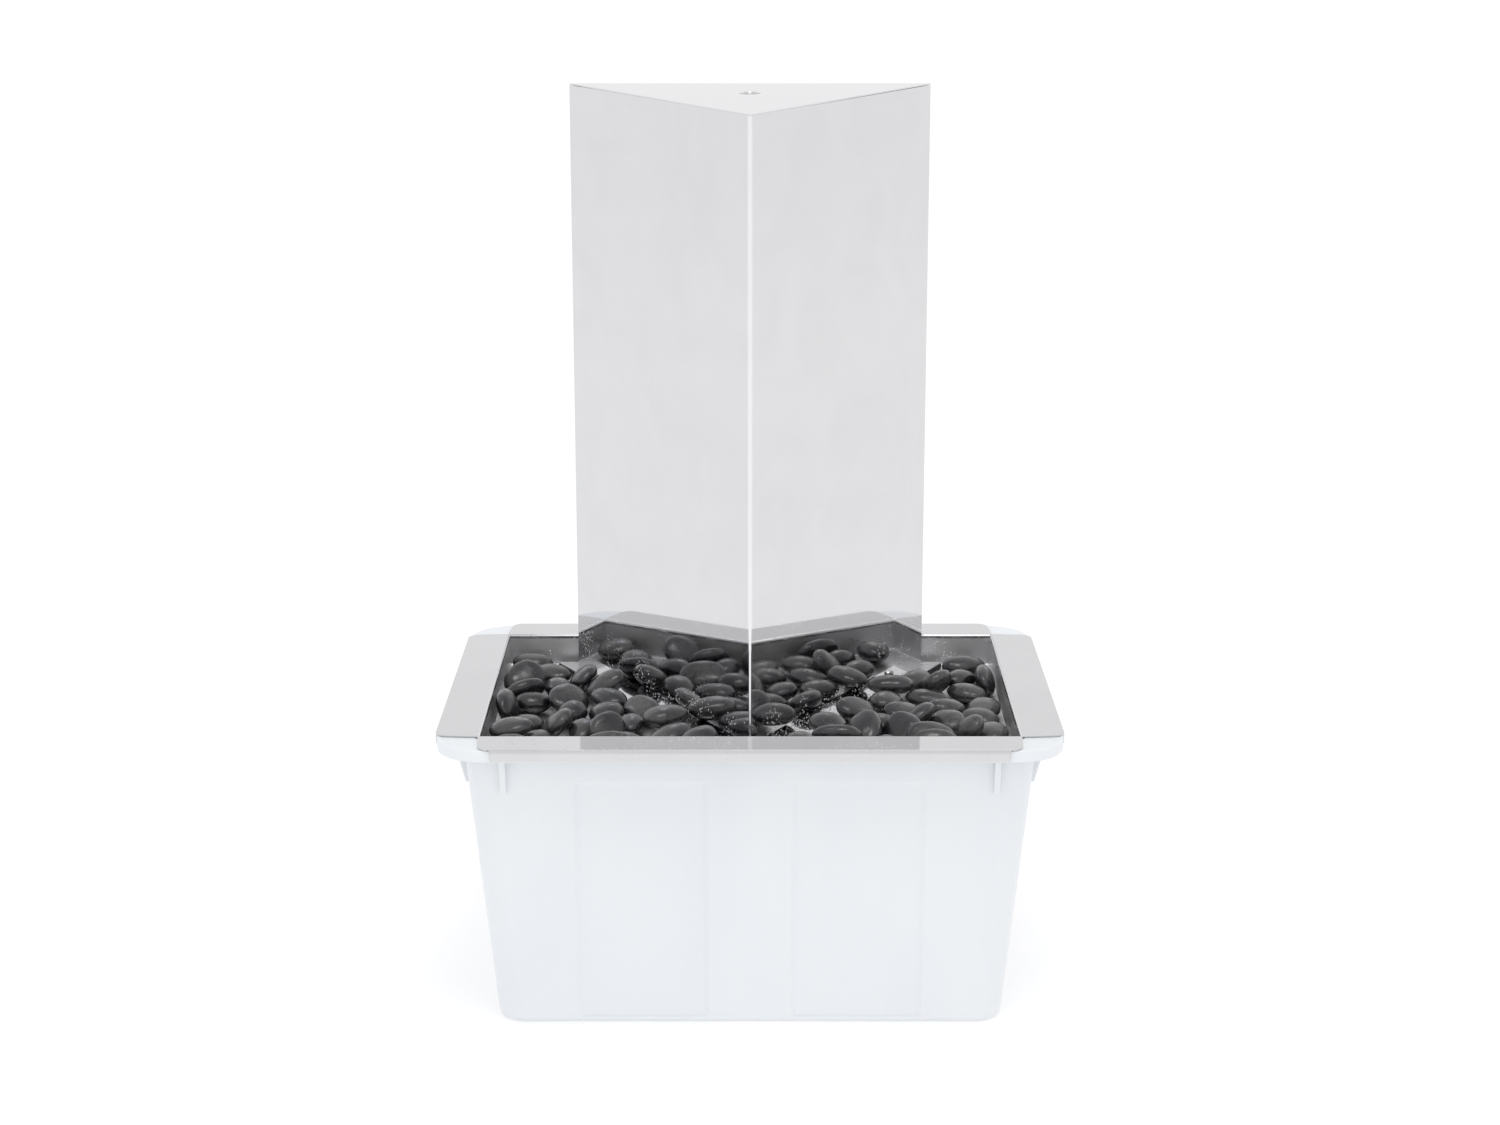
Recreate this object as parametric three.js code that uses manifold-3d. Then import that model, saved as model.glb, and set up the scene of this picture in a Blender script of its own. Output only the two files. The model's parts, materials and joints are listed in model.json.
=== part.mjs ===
// Tabletop water fountain: a mirror-polished V column stands in a shallow sheet-steel tray of pebbles.
// The tray hangs by its flanges on the rim of a plastic reservoir, and a small submersible pump on the
// reservoir's floor drives water up a hose to the spout in the column's top.
// Millimetres, +Z up. The origin is the middle of the reservoir's underside, and the column's fold faces -Y.

import * as THREE from "three";
import { mergeVertices } from "three/addons/utils/BufferGeometryUtils.js";
import Module from "manifold-3d";

const wasm = await Module();
wasm.setup();

// ---------- Driving dimensions ----------
const spanX = 480; // over the tray's side lips
const spanY = 340; // over the tray's front and back lips
const rimHeight = 240; // from the ground to the top of the tray's flanges
const columnTop = 707; // from the ground to the top of the column
const sheet = 1; // thickness of the tray's and the column's steel
const seatGap = 0.3; // between pieces that rest on each other
const past = 1; // how far a cut runs past the face it starts from

// Reservoir
const tubWall = 3;
const tubFloor = 3;
const rimPlate = 2.7;
const rimSkirt = 9.5;
const skirtWall = 2.5;
const rimOverhang = 19; // from the wall to the outside of the skirt
const rimCorner = 38;
const wallCorner = 24;
const wallLean = 22; // how far the wall leans in from the rim to the ground
const lipClearance = 0.5; // between the skirt and the tray's lips
const tubFoot = 6; // the rounding where the walls meet the underside
const panelDepth = 2.6; // the sunk panels in the walls
const panelBevel = 4;
const panelTopGap = 23; // from the skirt down to the panels' top edge
const frontPanel = [32, 134.5]; // the two front and the two back panels, from the middle
const sidePanel = 78; // half the width of the one panel in each end
const gussetWidth = 5;
const gussetHeight = 32;
const gussetReach = 9;
const gussetFoot = 3;
const gussetFromCorner = 32; // from the end of the wall at the rim

// Tray
const flangeX = 35; // the side flanges
const flangeY = 34; // the front and back flanges
const flangeCorner = 10;
const lipDrop = 9.5;
const trayDepth = 27; // from the flanges down to the floor
const drainRadius = 4;
const drainInset = 14; // from the walls to the middle of the drain holes
const drainRows = [3, 2]; // drain holes along each end wall and each half of the front wall

// Column
const columnWidth = 292;
const apexSetback = 10; // from the tray's front wall to the fold
const backGap = 10; // from the column to the tray's back wall
const foldRadius = 2.5;
const returnFlange = 14;
const footFlange = 14;
const footGasket = 4; // the rubber strips under the foot flanges
const footEndGap = 12; // from the fold to the front end of each foot flange
const topLip = 8;

// Water line
const spoutBore = 5.5;
const spoutRadius = 8;
const spoutRise = 0.4; // above the column's top
const spoutChamfer = 1;
const collarReach = 3;
const collarThickness = 2;
const tailRadius = 6.5; // of the spout's tail and of the pump's spigot
const tailLength = 24;
const barbs = 2;
const barbDepth = 0.25;
const barbStep = 0.6;
const hoseWall = 2;
const hoseBow = 14; // how far the hose bows sideways inside the column
const clampWidth = 9;
const clampBand = 1;
const clampScrew = [2.6, 5]; // radius and length of the screw's head
const clampHousing = [12, 5]; // length round the hose and height over the band
const clampInset = 5; // from the end of the hose
const grommetRadius = 14;
const grommetLip = [3, 2]; // reach and thickness

// Foot screws, M4
const screwRadius = 1.9;
const screwHeadRadius = 3.9;
const screwHead = 2.4;
const screwLength = 12;
const screwHole = 2.3;
const nutFlats = 7;
const nutThickness = 3.2;
const screwPlaces = [0.12, 0.85]; // along each foot flange, as shares of the face

// Pump
const cupHeight = 7;
const cupRadius = 8.5;
const cupStem = 2.2;
const cupInset = [7, 11]; // from the pump's sides and ends
const baseThickness = 2.5;
const motorLength = 44;
const motorCorner = 6;
const baseMargin = 2; // the pump's base plate past the motor
const chamberRadius = 20;
const chamberRise = 2; // from the base plate to the chamber
const cageClearance = 1; // between the chamber and the strainer's cage
const chamberWall = 3;
const chamberLength = 20;
const boreSides = 12;
const chamberSides = 32;
const saddleHalf = 9; // the block under the chamber
const bossRadius = 9;
const bossRise = 3; // over the motor's top
const spigotFlange = 2;
const spigotBore = 4.5;
const magnetRadius = 8.7;
const magnetLength = 28;
const magnetClearance = 0.8;
const impellerRadius = 14.5;
const bladeCount = 6;
const bladeThickness = 1.5;
const shaftRadius = 1.5;
const bushWall = 1.4;
const rotorEndGap = 1;
const bushLength = 4;
const coverFlange = 2;
const coverPlug = 2.5;
const coverInlet = 9.5;
const spokeWidth = 2.4;
const hubWall = 1.5;
const impellerHub = 5;
const bladeGap = [1.5, 2.5]; // between the blades and the cover, and the blades and the chamber's back
const plugDepth = 8; // how far the spigot goes into the pump
const strainerWall = 2;
const strainerReach = 22; // from the chamber to the strainer's front wall
const slotCount = 5;
const slotWidth = 2.4;
const slotEnds = [6, 8]; // from the cage's bottom and top to the slots
const dialRadius = 11;
const dialThickness = 2.5;
const dialHoles = 4;
const dialHoleRadius = 2.6;
const dialHoleCircle = 7;
const dialGrip = [2.4, 3]; // width and height
const dialStem = 2.5;
const dialSnap = [3.5, 1.4]; // radius and thickness of the head behind the strainer
const glandLength = 13;
const glandStem = [4.5, 5.5]; // radius and length of its root in the motor's back
const glandRadius = 6;
const glandRise = 8; // above the rotor's axis
const cableBore = 3.2;

// Pebbles
const pebbleCount = 24;
const pebbleHalfLength = [17, 22];
const pebbleHalfWidth = [13, 16];
const pebbleHalfHeight = [8.5, 10.5];
const pebbleTilt = 0.14; // radians
const pebbleSeed = 11;

// ---------- Levels and places worked out from them ----------
const innerX = spanX / 2 - flangeX; // half the tray's inside
const innerY = spanY / 2 - flangeY;
const flangeUnder = rimHeight - sheet;
const trayFloor = rimHeight - trayDepth; // top of the tray's floor
const tubTop = flangeUnder - seatGap;
const tubRimX = spanX / 2 - sheet - lipClearance;
const tubRimY = spanY / 2 - sheet - lipClearance;
const skirtBottom = tubTop - rimSkirt;
const panelTop = skirtBottom - panelTopGap;

const halfWidth = columnWidth / 2;
const apexY = -innerY + apexSetback;
const backY = innerY - backGap;
const columnDepth = backY - apexY;
const columnFoot = trayFloor + footGasket + 2 * seatGap;
const plateUnder = columnTop - sheet; // underside of the column's top plate
const spoutY = apexY + (columnDepth * 2) / 3; // the middle of the triangle
const faceLength = Math.hypot(halfWidth, columnDepth);
const faceAlong = new THREE.Vector2(halfWidth, columnDepth).normalize(); // along the right face
const faceOut = new THREE.Vector2(faceAlong.y, -faceAlong.x); // out of the right face

const hoseBore = tailRadius + seatGap;
const hoseRadius = hoseBore + hoseWall;
const pumpBase = tubFloor + seatGap + cupHeight; // underside of the pump's base plate
const pumpFloor = pumpBase + baseThickness;
const rotorHeight = pumpFloor + chamberRise + chamberRadius;
const pumpTop = rotorHeight + chamberRadius + chamberRise;
const pumpHalfWidth = chamberRadius + cageClearance + strainerWall;
const bossTop = pumpTop + bossRise;
const hoseFoot = bossTop + seatGap + spigotFlange + seatGap;

// ---------- Tools ----------
function solid(geometry) {
  const loose = geometry.index ? geometry.toNonIndexed() : geometry.clone();
  loose.deleteAttribute("normal");
  loose.deleteAttribute("uv");
  const merged = mergeVertices(loose, 1e-4);
  const mesh = new wasm.Mesh({
    numProp: 3,
    vertProperties: merged.attributes.position.array,
    triVerts: new Uint32Array(merged.index.array),
  });
  return new wasm.Manifold(mesh);
}

function geometryOf(body) {
  const mesh = body.getMesh();
  const geometry = new THREE.BufferGeometry();
  geometry.setAttribute("position", new THREE.BufferAttribute(new Float32Array(mesh.vertProperties), 3));
  geometry.setIndex(new THREE.BufferAttribute(new Uint32Array(mesh.triVerts), 1));
  return geometry;
}

const join = (bodies) => bodies.reduce((all, body) => all.add(body));
const cut = (body, tools) => tools.reduce((left, tool) => left.subtract(tool), body);

function block(x, y, z) {
  const geometry = new THREE.BoxGeometry(x[1] - x[0], y[1] - y[0], z[1] - z[0]);
  geometry.translate((x[0] + x[1]) / 2, (y[0] + y[1]) / 2, (z[0] + z[1]) / 2);
  return solid(geometry);
}

// A flat outline raised from z[0] to z[1].
function prism(shape, z, curveSegments = 8) {
  const depth = z[1] - z[0];
  const geometry = new THREE.ExtrudeGeometry(shape, { depth, bevelEnabled: false, curveSegments });
  geometry.translate(0, 0, z[0]);
  return solid(geometry);
}

function rod(radius, z, x = 0, y = 0, sides = 20) {
  const geometry = new THREE.CylinderGeometry(radius, radius, z[1] - z[0], sides);
  geometry.rotateX(Math.PI / 2);
  geometry.translate(x, y, (z[0] + z[1]) / 2);
  return solid(geometry);
}

// A profile of [radius, height] pairs turned about Z. A ring's profile ends where it starts.
function turned(profile, sides = 20) {
  const geometry = new THREE.LatheGeometry(
    profile.map(([radius, height]) => new THREE.Vector2(radius, height)),
    sides,
  );
  geometry.rotateX(Math.PI / 2);
  return solid(geometry);
}

function ring(inner, outer, z, sides = 20) {
  return turned([[inner, z[0]], [outer, z[0]], [outer, z[1]], [inner, z[1]], [inner, z[0]]], sides);
}

function polygon(points) {
  return new THREE.Shape(points.map(([x, y]) => new THREE.Vector2(x, y)));
}

function roundedRectangle(halfX, halfY, corner) {
  const shape = new THREE.Shape();
  shape.absarc(halfX - corner, halfY - corner, corner, 0, Math.PI / 2);
  shape.absarc(-halfX + corner, halfY - corner, corner, Math.PI / 2, Math.PI);
  shape.absarc(-halfX + corner, -halfY + corner, corner, Math.PI, Math.PI * 1.5);
  shape.absarc(halfX - corner, -halfY + corner, corner, Math.PI * 1.5, Math.PI * 2);
  return shape;
}

// A solid through rings of points that match one to one, each ring seen anticlockwise from above.
function loft(rings) {
  const count = rings[0].length;
  const points = rings.flat();
  const faces = [];
  for (let level = 0; level + 1 < rings.length; level++) {
    for (let i = 0; i < count; i++) {
      const a = level * count + i;
      const b = level * count + ((i + 1) % count);
      faces.push(a, b, b + count, a, b + count, a + count);
    }
  }
  for (const level of [0, rings.length - 1]) {
    const middle = points.length;
    points.push(new THREE.Vector3(0, 0, rings[level][0].z));
    for (let i = 0; i < count; i++) {
      const a = level * count + i;
      const b = level * count + ((i + 1) % count);
      faces.push(...(level ? [middle, a, b] : [middle, b, a]));
    }
  }
  const geometry = new THREE.BufferGeometry().setFromPoints(points);
  geometry.setIndex(faces);
  return solid(geometry);
}

// The outline of a sheet folded along points, with its thickness to the left of the way they run.
function foldedSheet(points, thickness) {
  const inner = points.map((point, i) => {
    const before = points[Math.max(i - 1, 0)];
    const after = points[Math.min(i + 1, points.length - 1)];
    const into = point.clone().sub(i ? before : point).normalize();
    const out = after.clone().sub(point).normalize();
    const first = i ? into : out;
    const second = i + 1 < points.length ? out : into;
    const left = new THREE.Vector2(-first.y - second.y, first.x + second.x).normalize();
    const reach = thickness / (left.x * -first.y + left.y * first.x);
    return point.clone().add(left.multiplyScalar(reach));
  });
  return new THREE.Shape([...points, ...inner.reverse()]);
}

// ---------- Materials ----------
function paint(color, roughness, metalness) {
  return new THREE.MeshStandardMaterial({ color, roughness, metalness });
}

const tubPlastic = paint(0xeef1f4, 0.35, 0);
const mirrorSteel = paint(0xd8d8da, 0.08, 1);
const brightSteel = paint(0xc9c9c6, 0.3, 1);
const pumpPlastic = paint(0x1b1c1e, 0.5, 0);
const impellerPlastic = paint(0xe9e9e4, 0.45, 0);
const magnetFerrite = paint(0x35322f, 0.6, 0.2);
const shaftCeramic = paint(0xf3f1ea, 0.3, 0);
const blackRubber = paint(0x161616, 0.8, 0);
const clearVinyl = paint(0xdfe6e2, 0.25, 0);
const riverPebble = paint(0x3b3c40, 0.45, 0);

// ---------- Reservoir ----------
// One level of the reservoir's wall: inset is measured in from the wall's outside, and sunk is how deep
// the panels are at this level.
function tubRing(z, inset, sunk) {
  const lean = wallLean * (1 - z / tubTop);
  const halfX = tubRimX - rimOverhang - lean - inset;
  const halfY = tubRimY - rimOverhang - lean - inset;
  const corner = wallCorner - inset;
  const half = panelBevel / 2;
  const panels = (edges) => edges.flatMap(([from, to]) => [
    [from - half, 0], [from + half, sunk], [to - half, sunk], [to + half, 0],
  ]);
  const long = panels([[-frontPanel[1], -frontPanel[0]], [frontPanel[0], frontPanel[1]]]);
  const short = panels([[-sidePanel, sidePanel]]);
  const steps = 5;
  const arc = (x, y, start) => Array.from({ length: steps + 1 }, (_, i) => {
    const turn = start + (i / steps) * (Math.PI / 2);
    return [x + corner * Math.cos(turn), y + corner * Math.sin(turn)];
  });
  const outline = [
    ...long.map(([along, deep]) => [along, -halfY + deep]),
    ...arc(halfX - corner, -halfY + corner, -Math.PI / 2),
    ...short.map(([along, deep]) => [halfX - deep, along]),
    ...arc(halfX - corner, halfY - corner, 0),
    ...long.map(([along, deep]) => [-along, halfY - deep]),
    ...arc(-halfX + corner, halfY - corner, Math.PI / 2),
    ...short.map(([along, deep]) => [-halfX + deep, -along]),
    ...arc(-halfX + corner, -halfY + corner, Math.PI),
  ];
  return outline.map(([x, y]) => new THREE.Vector3(x, y, z));
}

function gusset(alongX, side) {
  const top = skirtBottom + rimSkirt / 2;
  const low = skirtBottom - gussetHeight;
  const wallAt = (z) => (alongX ? tubRimX : tubRimY) - rimOverhang - wallLean * (1 - z / tubTop);
  const profile = polygon([
    [wallAt(low) - tubWall / 2, low],
    [wallAt(low) + gussetFoot / 2, low],
    [wallAt(low) + gussetFoot, low + gussetFoot],
    [wallAt(top) + gussetReach, top],
    [wallAt(top) - tubWall / 2, top],
  ]);
  const geometry = new THREE.ExtrudeGeometry(profile, { depth: gussetWidth, bevelEnabled: false });
  geometry.translate(0, 0, -gussetWidth / 2);
  geometry.rotateX(Math.PI / 2);
  const across = (alongX ? tubRimY : tubRimX) - rimOverhang - gussetFromCorner;
  geometry.translate(0, side[1] * across, 0);
  geometry.rotateZ((alongX ? 0 : Math.PI / 2) + (side[0] < 0 ? Math.PI : 0));
  return solid(geometry);
}

function reservoirTub() {
  const foot = tubFoot;
  const outside = loft([
    tubRing(0, foot, panelDepth),
    tubRing(foot * 0.3, foot * 0.3, panelDepth),
    tubRing(foot, 0, panelDepth),
    tubRing(panelTop - panelBevel, 0, panelDepth),
    tubRing(panelTop, 0, 0),
    tubRing(tubTop, 0, 0),
  ]);
  const inside = loft([
    tubRing(tubFloor, tubWall + foot * 0.7, panelDepth),
    tubRing(tubFloor + foot * 0.7, tubWall, panelDepth),
    tubRing(panelTop - panelBevel, tubWall, panelDepth),
    tubRing(panelTop, tubWall, 0),
    tubRing(tubTop + tubWall, tubWall, 0),
  ]);
  const rim = prism(roundedRectangle(tubRimX, tubRimY, rimCorner), [skirtBottom, tubTop]);
  const underRim = prism(
    roundedRectangle(tubRimX - skirtWall, tubRimY - skirtWall, rimCorner - skirtWall),
    [skirtBottom - rimSkirt, tubTop - rimPlate],
  );
  const sides = [[1, 1], [1, -1], [-1, 1], [-1, -1]];
  const gussets = sides.flatMap((side) => [gusset(true, side), gusset(false, side)]);
  return cut(join([rim.subtract(underRim), outside, ...gussets]), [inside]);
}

// ---------- Tray ----------
// One flange lies along +X at distance from the middle, and its lip hangs from its outer edge.
function trayFlange(distance, halfLength, width, turn) {
  const outline = new THREE.Shape();
  outline.moveTo(distance - sheet / 2, -halfLength);
  outline.absarc(distance + width - flangeCorner, -halfLength + flangeCorner, flangeCorner, -Math.PI / 2, 0);
  outline.absarc(distance + width - flangeCorner, halfLength - flangeCorner, flangeCorner, 0, Math.PI / 2);
  outline.lineTo(distance - sheet / 2, halfLength);
  const plate = prism(outline, [flangeUnder, rimHeight], 5);
  const lip = block(
    [distance + width - sheet, distance + width],
    [-halfLength + flangeCorner, halfLength - flangeCorner],
    [rimHeight - lipDrop, rimHeight - sheet / 2],
  );
  return plate.add(lip).rotate([0, 0, turn]);
}

// The middles of the drain holes: along both end walls and along the front wall, clear of the column.
function drainPlaces() {
  const x = innerX - drainInset;
  const y = innerY - drainInset;
  const places = [];
  for (const side of [-1, 1]) {
    for (let i = 0; i < drainRows[0]; i++) {
      places.push([side * x, (i - (drainRows[0] - 1) / 2) * ((2 * y) / drainRows[0])]);
    }
    for (let i = 0; i < drainRows[1]; i++) {
      places.push([side * ((i + 1) / (drainRows[1] + 1)) * x, -y]);
    }
  }
  return places;
}

// The middles of the foot screws, the right-hand pair first.
function screwSpots() {
  return [1, -1].flatMap((side) => screwPlaces.map((share) => {
    const along = faceAlong.clone().multiplyScalar(faceLength * share);
    const out = faceOut.clone().multiplyScalar(footFlange / 2 + sheet);
    return [side * (along.x + out.x), apexY + along.y + out.y];
  }));
}

function trayPan() {
  const under = trayFloor - sheet;
  const pan = block([-innerX - sheet, innerX + sheet], [-innerY - sheet, innerY + sheet], [under, rimHeight]);
  const well = block([-innerX, innerX], [-innerY, innerY], [trayFloor, rimHeight + past]);
  const through = [under - past, trayFloor + past];
  const holes = [
    rod(grommetRadius, through, 0, spoutY),
    ...screwBores(through),
    ...drainPlaces().map(([x, y]) => rod(drainRadius, through, x, y, boreSides)),
  ];
  const flanges = [
    trayFlange(innerX, innerY, flangeX, 0),
    trayFlange(innerX, innerY, flangeX, 180),
    trayFlange(innerY, innerX, flangeY, 90),
    trayFlange(innerY, innerX, flangeY, -90),
  ];
  return cut(join([pan, ...flanges]), [well, ...holes]);
}

// ---------- Column ----------
// The V's outside, from the right return flange round the fold to the left one, inset by that much.
function columnOutline(inset = 0) {
  const along = faceAlong;
  const slope = inset / along.x; // how far an inset moves the fold back
  const fold = new THREE.Vector2(0, apexY + slope);
  const back = backY;
  const backX = ((back - fold.y) * along.x) / along.y;
  const radius = Math.max(foldRadius - inset, 0.5);
  const centre = fold.y + radius / along.x;
  const turn = Math.atan2(faceOut.y, faceOut.x); // from the middle of the fold's arc to the right face
  const steps = 6;
  const arc = Array.from({ length: steps + 1 }, (_, i) => {
    const angle = turn - (i / steps) * (Math.PI + 2 * turn);
    return new THREE.Vector2(radius * Math.cos(angle), centre + radius * Math.sin(angle));
  });
  return [new THREE.Vector2(backX, back), ...arc, new THREE.Vector2(-backX, back)];
}

// The outline of the right foot flange, or the left one for side -1. Its front end is square to the face
// and its back end lines up with the column's back.
function footOutline(side, tuck) {
  const start = faceAlong.clone().multiplyScalar(footEndGap);
  const out = faceOut.clone().multiplyScalar(footFlange + sheet);
  const inX = (y) => ((y - apexY) * faceAlong.x) / faceAlong.y;
  const points = [
    [start.x - tuck, apexY + start.y],
    [start.x + out.x, apexY + start.y + out.y],
    [inX(backY) + (footFlange + sheet) / faceAlong.y, backY],
    [inX(backY) - tuck, backY],
  ];
  return polygon(points.map(([x, y]) => [side * x, y]));
}

const screwBores = (z) => screwSpots().map(([x, y]) => rod(screwHole, z, x, y, boreSides));

function footGasketStrip(side) {
  const strip = prism(footOutline(side, sheet), [trayFloor + seatGap, columnFoot - seatGap]);
  return cut(strip, screwBores([trayFloor - past, columnFoot + past]));
}

function columnShell() {
  const outside = columnOutline();
  const right = outside[0];
  const left = outside[outside.length - 1];
  const path = [
    new THREE.Vector2(left.x + returnFlange, left.y),
    ...outside.reverse(),
    new THREE.Vector2(right.x - returnFlange, right.y),
  ];
  const shell = prism(foldedSheet(path, sheet), [columnFoot, plateUnder - seatGap]);
  const feet = [1, -1].map((side) => prism(footOutline(side, sheet / 2), [columnFoot, columnFoot + sheet]));
  return cut(join([shell, ...feet]), screwBores([columnFoot - past, columnFoot + sheet + past]));
}

function columnBackPanel() {
  const half = halfWidth - sheet;
  return block([-half, half], [backY + seatGap, backY + seatGap + sheet], [columnFoot, plateUnder - seatGap]);
}

// The plate covers the shell and the back panel, and its lip drops inside the two front faces.
function columnTopPlate() {
  const outside = columnOutline();
  const behind = backY + seatGap + sheet;
  const rear = [
    new THREE.Vector2(outside[outside.length - 1].x, behind),
    new THREE.Vector2(outside[0].x, behind),
  ];
  const plate = prism(new THREE.Shape([...outside, ...rear]), [plateUnder, columnTop]);
  const inside = columnOutline(sheet + seatGap).slice(1, -1);
  const reach = returnFlange + sheet;
  const end = (side) => {
    const last = side > 0 ? inside[0] : inside[inside.length - 1];
    const span = backY - sheet - reach - last.y;
    return new THREE.Vector2(last.x + (side * span * faceAlong.x) / faceAlong.y, last.y + span);
  };
  const path = [end(-1), ...inside.reverse(), end(1)];
  const lip = prism(foldedSheet(path, sheet), [plateUnder - topLip, plateUnder + sheet / 2]);
  const hole = rod(spoutRadius + seatGap, [plateUnder - past, columnTop + past], 0, spoutY, 24);
  return plate.add(lip).subtract(hole);
}

// ---------- Water line ----------
// The outside of a stub that a hose is pushed over, pointing up from z.
function barbedTail(z, length) {
  const profile = [[tailRadius - barbDepth, z]];
  for (let i = 1; i <= barbs; i++) {
    const at = z + (length * i) / (barbs + 1);
    profile.push([tailRadius, at], [tailRadius - barbDepth, at + barbStep]);
  }
  profile.push([tailRadius - spoutChamfer, z + length]);
  return profile;
}

const spoutCollar = [plateUnder - seatGap - collarThickness, plateUnder - seatGap];
const hoseTop = spoutCollar[0] - seatGap;

function spoutPipe() {
  const tail = barbedTail(0, tailLength).map(([radius, up]) => [radius, spoutCollar[0] - up]).reverse();
  return turned([
    [spoutBore, tail[0][1]],
    ...tail,
    [spoutRadius + collarReach, spoutCollar[0]],
    [spoutRadius + collarReach, spoutCollar[1]],
    [spoutRadius, spoutCollar[1]],
    [spoutRadius, columnTop + spoutRise],
    [spoutBore + spoutChamfer, columnTop + spoutRise],
    [spoutBore, spoutCollar[1]],
    [spoutBore, tail[0][1]],
  ]);
}

// The hose leaves the pump and meets the spout upright, and bows sideways in the column between them.
class HoseRoute extends THREE.Curve {
  getPoint(share, target = new THREE.Vector3()) {
    const z = hoseFoot + share * (hoseTop - hoseFoot);
    const from = trayFloor + tailLength;
    const to = hoseTop - 2 * tailLength;
    const bowed = THREE.MathUtils.clamp((z - from) / (to - from), 0, 1);
    return target.set((hoseBow * (1 - Math.cos(2 * Math.PI * bowed))) / 2, 0, z);
  }
}

function riserHose() {
  const section = new THREE.Shape().absarc(0, 0, hoseRadius, 0, Math.PI * 2);
  section.holes.push(new THREE.Path().absarc(0, 0, hoseBore, 0, Math.PI * 2));
  return new THREE.ExtrudeGeometry(section, { steps: 24, curveSegments: 6, extrudePath: new HoseRoute() });
}

// A worm-drive clamp: a band with its screw housing on one side and the screw's head beside it.
function hoseClamp() {
  const inner = hoseRadius + seatGap;
  const outer = inner + clampBand;
  const band = ring(inner, outer, [0, clampWidth]);
  const [headRadius, headLength] = clampScrew;
  const half = clampHousing[0] / 2;
  const height = [outer - clampBand / 2, outer + clampHousing[1]];
  const housing = block([-half, half], height, [past, clampWidth - past]);
  const head = new THREE.CylinderGeometry(headRadius, headRadius, headLength, boreSides).rotateZ(Math.PI / 2);
  head.translate(half + headLength * 0.3, outer + headRadius, clampWidth / 2);
  return join([band, housing, solid(head)]);
}

function floorGrommet() {
  const bore = hoseRadius + seatGap;
  const groove = grommetRadius - seatGap;
  const [reach, thickness] = grommetLip;
  const lip = grommetRadius + reach;
  const top = trayFloor + seatGap;
  const under = trayFloor - sheet - seatGap;
  return turned([
    [bore, under - thickness], [lip, under - thickness], [lip, under], [groove, under],
    [groove, top], [lip, top], [lip, top + thickness], [bore, top + thickness], [bore, under - thickness],
  ]);
}

// ---------- Foot screws ----------
// A pan-head screw with its head's seat at z 0, and its nut below the tray's floor.
function footScrew() {
  return turned([
    [0, -screwLength], [screwRadius, -screwLength], [screwRadius, 0], [screwHeadRadius, 0],
    [screwHeadRadius, screwHead * 0.55], [screwHeadRadius * 0.72, screwHead], [0, screwHead],
  ], boreSides);
}

function footNut() {
  const across = nutFlats / 2 / Math.cos(Math.PI / 6);
  const bore = rod(screwRadius + seatGap, [-nutThickness - past, past], 0, 0, boreSides);
  return rod(across, [-nutThickness, 0], 0, 0, 6).subtract(bore);
}

// ---------- Pump, with its spigot on its own Z axis and its strainer towards its own -Y ----------
const chamberFront = -chamberLength / 2;
const chamberBack = chamberLength / 2;
const motorBack = chamberBack + motorLength;
const strainerFront = chamberFront - strainerReach;
const magnetFront = chamberBack + rotorEndGap;
const rearPocket = magnetFront + magnetLength + rotorEndGap;
const bushRadius = shaftRadius + seatGap + bushWall;
const shaftFront = chamberFront - coverFlange;
const shaftBack = rearPocket + bushLength;

// A rod along the pump's Y axis at the rotor's height.
function axleRod(radius, y, sides = 20) {
  const geometry = new THREE.CylinderGeometry(radius, radius, y[1] - y[0], sides);
  geometry.translate(0, (y[0] + y[1]) / 2, rotorHeight);
  return solid(geometry);
}

const cupSpots = [-1, 1].flatMap((side) => [
  [side * (pumpHalfWidth - cupInset[0]), strainerFront + cupInset[1]],
  [side * (pumpHalfWidth - cupInset[0]), motorBack - cupInset[1]],
]);

function pumpBody() {
  const motor = new THREE.Shape();
  const cornerX = pumpHalfWidth - motorCorner;
  const cornerZ = pumpTop - motorCorner;
  const inBase = pumpBase + baseThickness / 2;
  motor.absarc(cornerX, cornerZ, motorCorner, 0, Math.PI / 2);
  motor.absarc(-cornerX, cornerZ, motorCorner, Math.PI / 2, Math.PI);
  motor.lineTo(-pumpHalfWidth, inBase);
  motor.lineTo(pumpHalfWidth, inBase);
  const depth = motorLength;
  const motorBlock = new THREE.ExtrudeGeometry(motor, { depth, bevelEnabled: false, curveSegments: 5 });
  motorBlock.rotateX(Math.PI / 2);
  motorBlock.translate(0, motorBack, 0);
  const baseHalf = pumpHalfWidth + baseMargin;
  const base = block([-baseHalf, baseHalf], [strainerFront, motorBack + baseMargin], [pumpBase, pumpFloor]);
  const inMotor = chamberBack + past;
  const chamber = axleRod(chamberRadius, [chamberFront, inMotor], chamberSides);
  const saddle = block([-saddleHalf, saddleHalf], [chamberFront + past, inMotor], [inBase, rotorHeight]);
  const boss = rod(bossRadius, [rotorHeight, bossTop]);
  const glandHole = [motorBack - glandStem[1] - seatGap, motorBack + past];
  const cupHole = [pumpBase - past, pumpFloor + seatGap];
  return cut(join([solid(motorBlock), base, chamber, saddle, boss]), [
    axleRod(chamberRadius - chamberWall, [chamberFront - past, chamberBack], chamberSides),
    axleRod(magnetRadius + magnetClearance, [chamberBack - past, rearPocket]),
    axleRod(bushRadius + seatGap, [rearPocket - past, rearPocket + bushLength + seatGap]),
    rod(tailRadius + seatGap, [rotorHeight, bossTop + past]),
    axleRod(glandStem[0], glandHole).translate([0, 0, glandRise]),
    ...cupSpots.map(([x, y]) => rod(cupStem + seatGap, cupHole, x, y, boreSides)),
  ]);
}

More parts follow.
